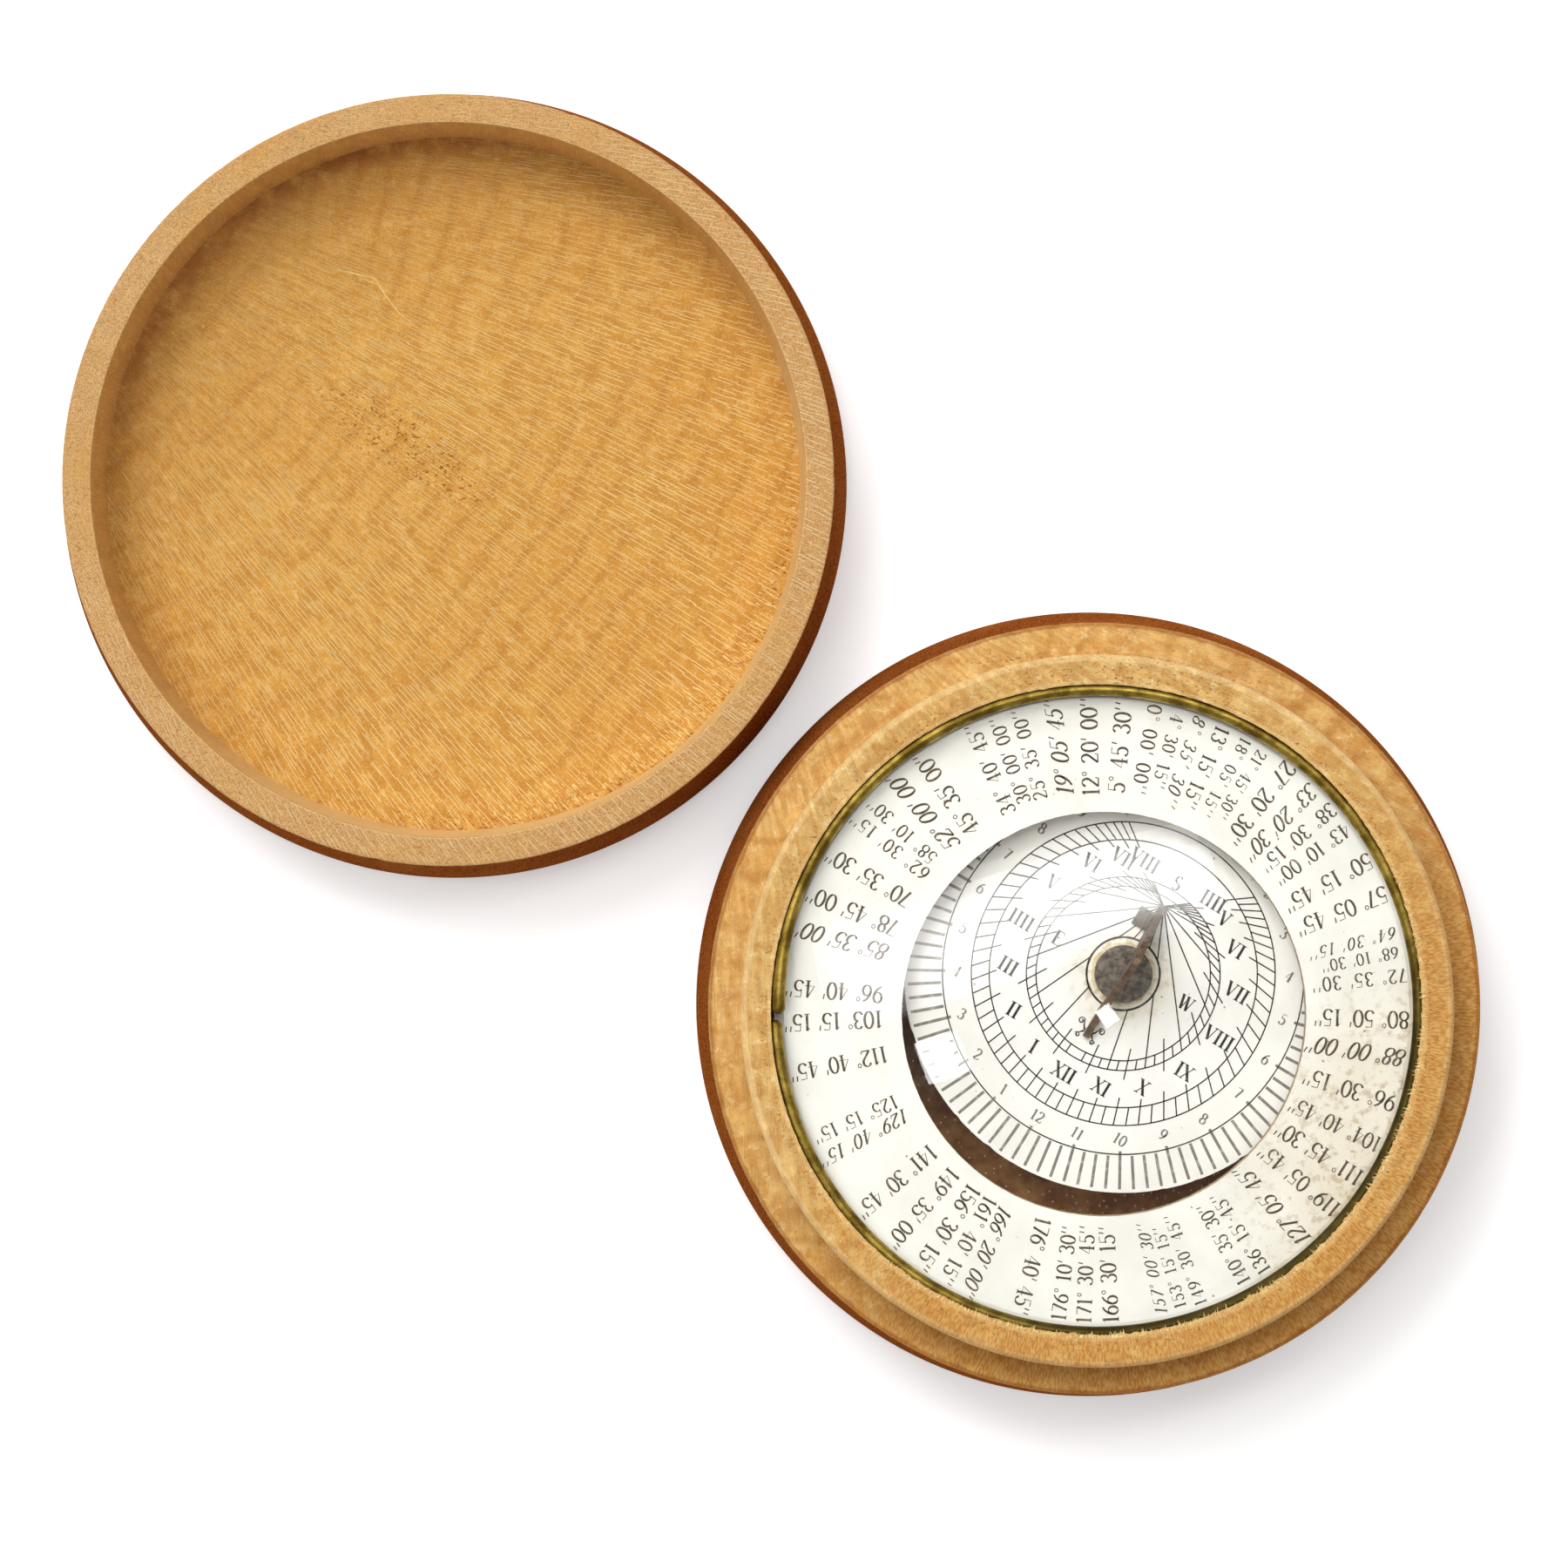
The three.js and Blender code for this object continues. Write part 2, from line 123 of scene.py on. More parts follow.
# Glass
GLASS_THICKNESS = 1.0
GLASS_SEAT_BAND = 0.8
GLASS_SEGMENTS = 240

# Paper and cap
PAPER_SEGMENTS = 480
TORN_SEGMENTS = 160
TORN_WIDTH = 0.2
CAP_SEGMENTS = 96
CAP_EDGE = 0.22

# Printed ring
OPENING_CENTRE = (0.55, -0.27)
OPENING_R = 14.75
PRIME_BEARING = 79.1
FIGURE_BEARINGS = (
    6.5, 10.9, 14.6, 22.0, 28.8, 35.9, 40.6, 45.7, 51.7, 57.3, 61.0, 65.8, 70.5, 74.6, 79.1,
    84.9, 91.5, 98.2, 104.7, 109.1, 113.8, 124.7, 131.1, 137.3, 141.6, 149.7, 157.9, 164.7,
    175.8, 182.4, 191.8, 204.4, 208.8, 220.6, 228.7, 235.6, 240.8, 245.5, 255.8, 262.9, 267.6,
    272.6, 282.1, 285.8, 289.6, 298.5, 302.8, 312.0, 320.0, 327.3, 334.4, 342.6, 351.1, 358.2,
)
OUTWARD_BEARINGS = (82.0, 258.0)
FIGURE_HEIGHT = 1.22
FIGURE_LEAST = 0.85
FIGURE_CROWDING = 0.84
FIGURE_SPACING = 0.05
FIGURE_LOOSE = 0.2
FIGURE_FILLS = (0.9, 0.35, 0.7, 0.5)
FIGURE_WEIGHT = 0.78
FIGURE_SLANT = 0.3
FIGURE_INDENTS = (0.6, 0.3)
FIGURE_INNER_R = 15.6
FIGURE_OUTER_R = 22.8

# Card print, drawn with north at the foot, so that south and the gnomon's root are at the top
READING_TURN = -31.0
LATITUDE = 51.5
DIAL_ROOT = 5.8
CAP_CIRCLE_R = 2.69
HOUR_CIRCLES_R = (6.41, 7.12)
NUMERAL_R = 8.47
NUMERAL_HEIGHT = 1.05
NUMERAL_GAP = 0.85
HALF_HOUR_INNER = (-0.9, 0.7)
HALF_HOUR_OUTER = -0.75
OUTER_CIRCLES_R = (9.85, 11.16)
CLOCK_FIGURE_R = 12.2
CLOCK_FIGURE_HEIGHT = 0.8
SCALE_CIRCLE_R = 13.28
SCALE_TICKS_R = (13.4, 15.85)
SCALE_TICK_WIDTH = 0.22
SCALE_TICKS = 96
LONG_TICK = 0.35
COMPASS_LETTERS = {"E": (-5.4, -0.2), "W": (5.1, 0.5), "S": (0.0, 7.75)}
FINE_LINE = 0.1
INK_DEPTH = 0.012


# Plain geometry

def smooth(x, low, high):
    """0 below low, 1 above high, and a smooth rise between them."""
    t = min(1.0, max(0.0, (x - low) / (high - low)))
    return t * t * (3 - 2 * t)


def arc(cx, cy, rx, ry, start, end, steps):
    """Points on an ellipse's arc, in degrees counter-clockwise from +x."""
    angles = [math.radians(start + (end - start) * i / steps) for i in range(steps + 1)]
    return [(cx + rx * math.cos(a), cy + ry * math.sin(a)) for a in angles]


def line(start, end, steps):
    """Evenly spaced points from start to end, without the start."""
    shares = [(i + 1) / steps for i in range(steps)]
    return [tuple(a + (b - a) * t for a, b in zip(start, end)) for t in shares]


def around(radius, angle, centre=(0.0, 0.0)):
    """A point on a circle, at an angle in radians."""
    return (centre[0] + radius * math.cos(angle), centre[1] + radius * math.sin(angle))


def polar(radius, degrees, centre=(0.0, 0.0)):
    return around(radius, math.radians(degrees), centre)


def ripple(angle, grain, layer):
    """Noise round a circle, from about -1 to 1; grain sets how many ripples there are."""
    return noise.noise(Vector((math.cos(angle) * grain, math.sin(angle) * grain, layer)))


def bumps(angle, grain, layer):
    """The half of a ripple above 0."""
    return max(0.0, ripple(angle, grain, layer))


def stitched(rows, segments):
    """Faces between rows of vertices round a solid; a row of one vertex is a point."""
    faces = []
    for low, high in zip(rows, rows[1:]):
        for j in range(segments):
            k = j + 1
            corners = (low[j % len(low)], low[k % len(low)], high[k % len(high)], high[j % len(high)])
            faces.append(tuple(dict.fromkeys(corners)))
    return faces


def lathe(profile, segments, centre, move=None):
    """Vertices, faces and each vertex's profile row of a solid of revolution of (radius, height) points."""
    verts, rows, row_of = [], [], []
    for i, (r, z) in enumerate(profile):
        count = segments if r else 1
        rows.append(range(len(verts), len(verts) + count))
        row_of += [i] * count
        for j in range(count):
            a = 2 * math.pi * j / segments
            dr, dz = move(r, z, a) if move and r else (0.0, 0.0)
            verts.append((*around(r + dr, a, centre), z + dz))
    return verts, stitched(rows, segments), row_of


def tube(points, radii, sides):
    """Vertices and faces of a closed tube along points, with a point at each end."""
    points = [Vector(point) for point in points]
    verts, rows = [points[0]], [[0]]
    up = Vector((0.0, 0.0, 1.0))
    for i in range(1, len(points) - 1):
        along = (points[i + 1] - points[i - 1]).normalized()
        side = along.cross(up)
        side = side.normalized() if side.length > 0.01 else Vector((1.0, 0.0, 0.0))
        top = side.cross(along)
        rows.append(range(len(verts), len(verts) + sides))
        for j in range(sides):
            a = 2 * math.pi * j / sides
            verts.append(points[i] + radii[i] * (side * math.cos(a) + top * math.sin(a)))
    rows.append([len(verts)])
    verts.append(points[-1])
    return verts, [face[:1] + face[:0:-1] for face in stitched(rows, sides)]


def joined(parts):
    """One list of vertices and one of faces from several."""
    verts, faces = [], []
    for part_verts, part_faces in parts:
        first = len(verts)
        verts += part_verts
        faces += [tuple(first + i for i in face) for face in part_faces]
    return verts, faces


def linked(name, data):
    """A new object of the scene."""
    obj = bpy.data.objects.new(name, data)
    bpy.context.scene.collection.objects.link(obj)
    return obj


def mesh_object(name, verts, faces, material):
    mesh = bpy.data.meshes.new(name)
    mesh.from_pydata([Vector(v) * MM for v in verts], [], faces)
    mesh.materials.append(material)
    return linked(name, mesh)


def piece(name, verts, faces, material, body, replaces=(), slot=None, crease=40.0, marks=None):
    """A mesh object that rides on a body; marks are named values for each vertex that its material reads."""
    obj = mesh_object(name, verts, faces, material)
    obj.data.shade_smooth()
    obj.data.set_sharp_from_angle(angle=math.radians(crease))
    for mark, values in (marks or {}).items():
        obj.data.attributes.new(mark, "FLOAT", "POINT").data.foreach_set("value", values)
    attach(obj, body)
    if replaces:
        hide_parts(*replaces)


# Materials

def srgb(r, g, b):
    """A linear colour from screen values of 0 to 255."""
    def linear(c):
        return c / 12.92 if c <= 0.04045 else ((c + 0.055) / 1.055) ** 2.4
    return (linear(r / 255), linear(g / 255), linear(b / 255), 1.0)


class Shade:
    """A material, or another owner of nodes, with short ways to add them."""

    def __init__(self, name, inputs=(), owner=None, surface="Principled BSDF"):
        self.owner = owner or bpy.data.materials.new(name)
        self.owner.use_nodes = True
        self.tree = self.owner.node_tree
        self.surface = self.tree.nodes[surface]
        self.set(inputs)

    def feed(self, node, inputs):
        """Links each input of a node to an output, or gives it a plain value."""
        for socket, value in dict(inputs).items():
            if isinstance(value, bpy.types.NodeSocket):
                self.tree.links.new(value, node.inputs[socket])
            else:
                node.inputs[socket].default_value = value

    def set(self, inputs):
        self.feed(self.surface, inputs)

    def add(self, kind, inputs=(), **settings):
        """The outputs of a new node."""
        node = self.tree.nodes.new("ShaderNode" + kind)
        for key, value in settings.items():
            setattr(node, key, value)
        self.feed(node, inputs)
        return node.outputs

    def math(self, operation, *values):
        return self.add("Math", enumerate(values), operation=operation)["Value"]

    def times(self, a, b):
        return self.math("MULTIPLY", a, b)

    def vector_math(self, operation, *vectors):
        return self.add("VectorMath", enumerate(vectors), operation=operation)

    def axes(self, vector):
        return self.add("SeparateXYZ", {"Vector": vector})

    def step(self, value, low, high):
        """A smooth rise from 0 to 1 while a value goes from low to high."""
        inputs = {"Value": value, "From Min": low, "From Max": high}
        return self.add("MapRange", inputs, interpolation_type="SMOOTHSTEP")["Result"]

    def between(self, share, low, high):
        """A number that runs from low to high with share."""
        return self.add("MapRange", {"Value": share, "To Min": low, "To Max": high})["Result"]

    def mix(self, share, a, b):
        """A colour that runs from a to b with share; each is an output or screen values."""
        a, b = (srgb(*colour) if isinstance(colour, tuple) else colour for colour in (a, b))
        return self.add("Mix", {0: share, 6: a, 7: b}, data_type="RGBA")[2]

    def coats(self, under, *layers):
        """A colour with others laid over it in turn, each by a share times a strength."""
        for colour, share, strength in layers:
            under = self.mix(self.times(share, strength), under, colour)
        return under

    def mark(self, name):
        return self.add("Attribute", attribute_name=name)["Fac"]

    def facing_up(self):
        """How far the piece's surface faces up its own Z."""
        return self.axes(self.add("TexCoord")["Normal"])["Z"]

    def cells(self, size, turn=0.0, centre=(0.0, 0.0, 0.0)):
        """The piece's own coordinates, counted in cells of that size in mm, turned about Z."""
        inputs = {
            "Vector": self.add("TexCoord")["Object"], "Location": Vector(centre) * MM,
            "Rotation": (0.0, 0.0, math.radians(turn)), "Scale": Vector(size) * MM,
        }
        return self.add("Mapping", inputs, vector_type="TEXTURE")["Vector"]

    def noise(self, cells, detail=2.0, roughness=0.5):
        """Noise over given cells, or over cells of a size in mm."""
        if isinstance(cells, float):
            cells = (cells, cells, cells)
        if isinstance(cells, tuple):
            cells = self.cells(cells)
        inputs = {"Vector": cells, "Scale": 1.0, "Detail": detail, "Roughness": roughness}
        return self.add("TexNoise", inputs)["Fac"]

    def specks(self, size, reach):
        """1 at scattered points and 0 between them; reach is a speck's radius in cells."""
        inputs = {"Vector": self.cells((size, size, size)), "Scale": 1.0}
        return self.step(self.add("TexVoronoi", inputs)["Distance"], reach, reach * 0.4)

    def patch(self, centre, size, turn):
        """1 in the middle of an oval patch, falling to 0 at its edge."""
        inputs = {"Vector": self.cells(size, turn, centre)}
        return self.add("TexGradient", inputs, gradient_type="SPHERICAL")["Fac"]

    def rings(self, centre, apart, waver):
        """1 on thin wavering lines round a centre, that far apart in mm."""
        cells = self.cells((apart, apart, apart * 40), centre=(*centre, 0.0))
        away = self.vector_math("LENGTH", cells)["Value"]
        bent = self.math("ADD", away, self.times(self.noise(8.0), waver))
        return self.step(self.math("PINGPONG", bent, 0.5), 0.22, 0.0)

    def fan(self, heart, reach, across, along, tall):
        """Cells that fan out from a heart: so wide at that reach, so long and so tall, in mm."""
        x, y, z = self.axes(self.cells((1.0, 1.0, 1.0), centre=(*heart, 0.0)))
        away = self.math("SQRT", self.math("ADD", self.times(x, x), self.times(y, y)))
        inputs = {
            "X": self.times(self.math("ARCTAN2", y, x), reach / across),
            "Y": self.math("ADD", self.times(away, 1 / along), self.times(z, 1 / tall)),
        }
        return self.add("CombineXYZ", inputs)["Vector"]

    def spokes(self, heart, reach, cell):
        """Noise in upright sheets that point away from a heart."""
        return self.noise(self.fan(heart, reach, *cell), 0.0)

    def rays(self, heart, reach, cell, width):
        """1 on fine lines that point away from a heart, with that width in mm, and 0 between them."""
        cells = self.fan(heart, reach, *cell)
        points = self.add("TexVoronoi", {"Vector": cells, "Scale": 1.0}, voronoi_dimensions="2D")["Position"]
        off = self.vector_math("SUBTRACT", cells, points)["Vector"]
        x, y, _ = self.axes(self.vector_math("ABSOLUTE", off)["Vector"])
        half = width / cell[0] / 2
        return self.times(self.step(x, half * 1.3, half * 0.7), self.step(y, 0.6, 0.35))

    def done(self, colour, relief, depth):
        """The material, with that colour and a relief of that depth in mm."""
        bump = self.add("Bump", {"Strength": 1.0, "Distance": depth * MM, "Height": relief})
        self.set({"Base Color": colour, "Normal": bump["Normal"]})
        return self.owner


# Cells of the wood's patterns in mm: across, along and up from the heart, or along the axes
STREAK_CELL = (0.8, 2.4, 9.0)
RAY_CELL = (0.32, 1.7, 5.0)
RAY_WIDTH = 0.065
PILE_CELL = (0.12, 0.5, 90.0)
PORE_CELL = (0.11, 0.11, 2.6)
SCUFF_CELL = (0.9, 0.9, 3.0)
PIT_CELL = (0.3, 0.2, 0.3)
TURNING_CELL = (40.0, 40.0, 0.3)
TONE_CELL = 9.0
BLOTCH_CELL = 1.8
GROWTH_APART = 2.7
GROWTH_WAVER = 1.3
WOOD_RELIEF = 0.05


def boxwood(name, heart, centre, torn, pile, tones, contrast, scuffed):
    """Old boxwood, turned: rays and growth bands about a heart, darker where it is polished."""
    s = Shade(name)
    t = SimpleNamespace(**tones)
    reach = math.dist(heart, centre)
    level = s.step(s.math("ABSOLUTE", s.facing_up()), 0.3, 0.8)
    streak = s.spokes(heart, reach, STREAK_CELL)
    pore = s.noise(PORE_CELL, 2.0, 0.6)
    scuff = s.noise(SCUFF_CELL, 5.0, 0.75)
    tone = s.noise(TONE_CELL, 3.0)
    ray = s.times(s.rays(heart, reach, RAY_CELL, RAY_WIDTH), level)
    ray = s.times(ray, s.between(s.step(tone, 0.35, 0.65), 1.0, 0.55))
    growth = s.times(s.rings(heart, GROWTH_APART, GROWTH_WAVER), s.step(tone, 0.3, 0.6))
    cut = s.coats(
        s.mix(s.step(streak, 0.35, 0.65), t.deep, t.raw),
        (t.warm, s.step(tone, 0.42, 0.68), 0.55),
        (t.band, growth, 0.65),
        (t.pore, s.step(pore, 0.5, 0.68), contrast),
        (t.fleck, s.step(pore, 0.5, 0.34), contrast * 0.8),
        (t.fleck, s.step(scuff, 0.52, 0.68), scuffed),
        (t.pore, s.step(scuff, 0.48, 0.32), scuffed),
        (t.fleck, ray, contrast * 2.0),
    )
    relief = s.math("ADD", s.math("ADD", ray, pore), s.times(scuff, scuffed * 3.0))
    if pile:
        stroke = s.spokes(CASE_CENTRE, NECK_R, PILE_CELL)
        tufted = s.times(s.step(s.patch(*pile), 0.05, 0.4), s.step(s.facing_up(), -0.2, 0.2))
        cut = s.coats(
            cut,
            (t.pile, tufted, 0.45),
            (t.pile_dark, s.times(tufted, s.step(stroke, 0.48, 0.62)), 0.4),
            (t.pile_light, s.times(tufted, s.step(stroke, 0.50, 0.38)), 0.5),
        )
        relief = s.math("SUBTRACT", relief, s.times(tufted, s.times(stroke, 0.5)))
    rim = s.coats(
        s.mix(s.step(pore, 0.38, 0.62), t.rim, t.rim_dark),
        (t.rim_fleck, ray, 0.8),
        (t.raw, s.step(tone, 0.45, 0.7), 0.4),
    )
    pits = s.step(s.noise(PIT_CELL), 0.58, 0.68)
    ragged = s.times(pits, s.math("MAXIMUM", s.mark("torn"), s.step(s.patch(*torn), 0.05, 0.55)))
    worn = s.coats(
        s.mix(s.mark("rim"), cut, rim),
        (t.torn, ragged, 0.8),
        # Darker blotches: grime, and painted shade in the groove, the bowl and the lid floor's upper left
        # margin
        (t.grime, s.mark("grime"), s.step(s.noise(BLOTCH_CELL, 5.0, 0.65), 0.32, 0.60)),
        # Pale colour on edges and on the lid's inner wall: a painted highlight and painted light; the same
        # mark also sets a real shine below
        (t.edge, s.mark("edge"), s.between(tone, 0.35, 1.0)),
    )
    outside = s.coats(
        s.mix(s.step(pore, 0.3, 0.72), t.polish_deep, t.polish),
        (t.polish_light, s.step(tone, 0.4, 0.7), 0.2),
        (t.polish_light, ray, 0.35),
        (t.polish_deep, growth, 0.15),
        (t.polish_deep, s.step(s.noise(TURNING_CELL, 3.0), 0.55, 0.75), 0.3),
    )
    s.set({
        "Roughness": s.between(s.mark("edge"), 0.6, 0.4),
        "Specular IOR Level": s.between(s.mark("edge"), 0.0, 0.4),
    })
    relief = s.math("SUBTRACT", relief, s.times(ragged, 0.2))
    relief = s.times(relief, s.between(s.mark("polish"), 1.0, 0.12))
    return s.done(s.mix(s.mark("polish"), worn, outside), relief, WOOD_RELIEF)


def old_brass(name, dark, light, roughness, streak_cell, shade_patch=None):
    """Brass clouded from dark to light, with fine scratches; the optional patch is painted shade, where it is
    darker.
    """
    s = Shade(name, {"Metallic": 1.0})
    cloud = s.noise(1.6, 5.0, 0.65)
    scratch = s.noise(streak_cell, 3.0)
    colour = s.mix(s.step(cloud, 0.35, 0.68), dark, light)
    colour = s.coats(colour, (dark, s.step(scratch, 0.55, 0.72), 0.5))
    if shade_patch:
        colour = s.coats(colour, (BRASS_SHADE, s.step(s.patch(*shade_patch), 0.1, 0.5), 0.9))
    s.set({"Roughness": s.between(cloud, roughness + 0.15, roughness - 0.1)})
    return s.done(colour, s.math("ADD", scratch, cloud), 0.012)


def paper(name, white, shade_and_stain, shade_and_stain_patch, speck):
    """Laid paper with faint fibres, a foxed patch that on the ring also holds painted shade, dust and small
    rust spots.
    """
    s = Shade(name, {"Roughness": 0.85, "Specular IOR Level": 0.2})
    fibre = s.noise(0.35, 5.0, 0.7)
    cloud = s.noise(5.0, 4.0)
    foxed = s.step(s.noise(0.7, 5.0, 0.7), 0.5, 0.66)
    stained_and_shaded = s.step(s.patch(*shade_and_stain_patch), 0.05, 0.6)
    dull = tuple(c - 9 for c in white)
    colour = s.coats(
        s.mix(s.step(cloud, 0.35, 0.7), white, dull),
        (shade_and_stain, s.step(fibre, 0.55, 0.8), 0.25),
        # A darker patch: staining, and on the ring painted shade as well
        (shade_and_stain, stained_and_shaded, s.between(cloud, 0.1, 0.7)),
        (FOXING, s.times(stained_and_shaded, foxed), 0.6),
        (DUST, s.times(s.specks(1.0, 0.07), s.step(cloud, 0.45, 0.6)), 0.7),
        (speck, s.specks(2.3, 0.05), 0.8),
    )
    return s.done(colour, fibre, 0.012)


def printing_ink(name, dark, worn):
    """Thin ink, worn paler here and there."""
    s = Shade(name, {"Roughness": 0.9, "Specular IOR Level": 0.1})
    wear = s.noise(0.5, 4.0, 0.7)
    return s.done(s.mix(s.step(wear, 0.48, 0.72), dark, worn), wear, 0.004)


def watch_glass(name):
    """Clear glass that lets the lamps through to what lies under it."""
    s = Shade(name, {"Roughness": 0.02, "Base Color": CLEAR, "Transmission Weight": 1.0, "IOR": 1.5})
    shadow = s.add("LightPath")["Is Shadow Ray"]
    clear = s.add("BsdfTransparent")["BSDF"]
    shader = s.add("MixShader", {0: shadow, 1: s.surface.outputs["BSDF"], 2: clear})["Shader"]
    s.feed(s.tree.nodes["Material Output"], {"Surface": shader})
    return s.owner


def dusty_lining(name):
    """Brown paper, clouded and sprinkled with pale dust."""
    s = Shade(name, {"Roughness": 0.85})
    cloud = s.noise(2.2, 6.0, 0.65)
    colour = s.mix(s.step(cloud, 0.35, 0.7), (166, 108, 51), (220, 162, 98))
    return s.done(s.coats(colour, ((255, 238, 196), s.specks(0.5, 0.22), 0.9)), cloud, 0.04)


def mottled(name, dark, light, cell, roughness, metallic, relief):
    """A plain surface clouded from dark to light."""
    s = Shade(name, {"Metallic": metallic})
    cloud = s.noise(cell, 6.0, 0.65)
    s.set({"Roughness": s.between(cloud, roughness - 0.1, roughness + 0.1)})
    return s.done(s.mix(s.step(cloud, 0.35, 0.68), dark, light), cloud, relief)


CLEAR = srgb(252, 252, 251)
FOXING = (176, 146, 98)
# The colour of the wire's painted shade
BRASS_SHADE = (60, 52, 28)
DUST = (128, 112, 94)
WOOD_TONES = {
    "deep": (193, 138, 61), "raw": (207, 155, 73), "warm": (203, 145, 64), "band": (180, 122, 50),
    "fleck": (248, 216, 150), "pore": (182, 122, 54), "torn": (126, 68, 22),
    "rim": (216, 174, 118), "rim_dark": (180, 134, 80), "rim_fleck": (240, 208, 156),
    # The colour of a painted highlight on edges, then the colour of grime and painted shade
    "edge": (240, 212, 158), "grime": (160, 96, 50),
    "pile": (204, 140, 64), "pile_dark": (172, 104, 40), "pile_light": (228, 182, 106),
    "polish_deep": (112, 54, 20), "polish": (162, 90, 38), "polish_light": (186, 119, 59),
}
NECK_TONES = dict(
    WOOD_TONES, deep=(208, 158, 88), raw=(230, 188, 116), warm=(218, 166, 88), fleck=(246, 220, 158),
    band=(190, 136, 68), pore=(186, 128, 60), torn=(146, 92, 42),
)

# Patches: a middle, half sizes and a turn in degrees
LID_TORN = ((LID_CENTRE[0] - 3.7, LID_CENTRE[1] + 3.2, LID_FLOOR_Z), (11.5, 3.2, 90.0), -34.0)
CASE_TORN = ((2.0, 24.7, NECK_TOP_Z), (15.0, 1.9, 90.0), -4.0)
CASE_PILE = ((14.0, -18.0, NECK_TOP_Z), (40.0, 40.0, 90.0), 0.0)
# Painted shade on the wire's lower right, the side away from the lamps
WIRE_SHADE = ((15.0, -17.0, WIRE_Z), (32.0, 32.0, 90.0), 0.0)
# The ring's patch on the right: painted shade, with foxing
RING_SHADE_AND_STAIN = ((27.0, -13.0, RING_TOP_Z), (22.0, 22.0, 90.0), 0.0)
CARD_STAIN = ((*CARD_CENTRE, CARD_TOP_Z), (5.0, 5.0, 90.0), 0.0)

# Hearts of the trees that the wood was cut from
LID_HEART = (LID_CENTRE[0] - 45.5, LID_CENTRE[1] + 31.4)
CASE_HEART = (-28.0, 40.0)

CASE_WOOD = boxwood("case_boxwood", CASE_HEART, CASE_CENTRE, CASE_TORN, CASE_PILE, NECK_TONES, 0.22, 0.7)
LID_WOOD = boxwood("lid_boxwood", LID_HEART, LID_CENTRE, LID_TORN, None, WOOD_TONES, 0.4, 0.25)
WIRE_BRASS = old_brass("wire_brass", (118, 94, 34), (192, 163, 76), 0.4, (0.3, 0.3, 0.12), WIRE_SHADE)
INNER_BRASS = old_brass("bush_brass", (120, 96, 42), (190, 160, 84), 0.35, (0.3, 3.0, 0.3))
FOOT_BRASS = old_brass("gnomon_foot_brass", (62, 55, 36), (104, 94, 62), 0.5, (0.3, 1.0, 0.3))
CAP_METAL = mottled("cap_browned_metal", (68, 60, 51), (138, 127, 111), 0.5, 0.7, 0.0, 0.03)
GNOMON_METAL = mottled("gnomon_browned_metal", (80, 62, 48), (138, 108, 80), 0.7, 0.6, 0.2, 0.04)
PIN_STEEL = mottled("pin_steel", (92, 92, 94), (150, 152, 156), 1.0, 0.35, 1.0, 0.01)
MAGNET_STEEL = mottled("magnet_blued_steel", (40, 44, 54), (84, 88, 98), 2.0, 0.4, 1.0, 0.01)
AGATE = mottled("jewel_agate", (70, 38, 30), (132, 84, 66), 0.5, 0.15, 0.0, 0.0)
WAX = mottled("balance_sealing_wax", (98, 22, 14), (140, 44, 30), 0.6, 0.4, 0.0, 0.04)
BOARD = mottled("layered_pasteboard", (160, 138, 102), (196, 174, 136), 1.2, 0.85, 0.0, 0.03)
LINING = dusty_lining("brown_paper_lining")
GLASS = watch_glass("domed_glass")
RING_PAPER = paper("ring_printed_paper", (243, 241, 233), (222, 206, 166), RING_SHADE_AND_STAIN, (150, 92, 40))
CARD_PAPER = paper("card_printed_paper", (243, 241, 234), (222, 208, 176), CARD_STAIN, (160, 120, 80))
TORN_PAPER = mottled("torn_paper", (204, 182, 132), (240, 232, 208), 0.5, 0.9, 0.0, 0.03)
INK = printing_ink("brown_black_ink", (52, 47, 42), (112, 104, 94))
RING_INK = printing_ink("ring_ink", (82, 71, 56), (146, 132, 110))
FADED_INK = printing_ink("faded_ink", (128, 123, 115), (182, 178, 168))
FIBRE = mottled("wood_fibre", (226, 188, 110), (246, 228, 164), 0.4, 0.75, 0.0, 0.0)


# Turned wood

# Marks, in order: polish, a painted highlight on edges, grime with painted shade, the rim's colour and torn
# wood
MARKS = ("polish", "edge", "grime", "rim", "torn")


def outer_profile(top):
    """The outside that case and lid share: a rounded foot and slight taper, and the arris at the top."""
    wall = [(0.0, 0.0)] + line((0.0, 0.0), (FOOT_R, 0.0), 5)[:-1]
    wall += arc(FOOT_R, SWELL_Z, WIDEST_R - FOOT_R, SWELL_Z, -90, 0, 28)
    wall += line(wall[-1], (RIM_R, top - ARRIS), 14)
    return wall, arc(RIM_R - ARRIS, top - ARRIS, ARRIS, ARRIS, 10, 90, 4)


def turned_piece(name, sections, segments, centre, move, wear, material, body, node, slot):
    """A turned piece from named sections, each a run of profile points with its marks.

    Some marks vary over a section: wear(section, radius, angle) gives these.
    """
    profile = [point for points, _ in sections.values() for point in points]
    looks = [(section, look) for section, (points, look) in sections.items() for _ in points]
    verts, faces, row_of = lathe(profile, segments, centre, move)
    values = []
    for (x, y, _), row in zip(verts, row_of):
        section, look = looks[row]
        away = Vector((x - centre[0], y - centre[1]))
        values.append({**look, **wear(section, away.length, math.atan2(away.y, away.x))})
    marks = {mark: [value.get(mark, 0.0) for value in values] for mark in MARKS}
    piece(name, verts, faces, material, body, [node], slot, 50.0, marks)


def lip_share(angle):
    """How far the neck's torn lip leans over the wire, most at the lower right."""
    return smooth(math.cos(angle - LIP_BEARING), -0.4, 0.9)


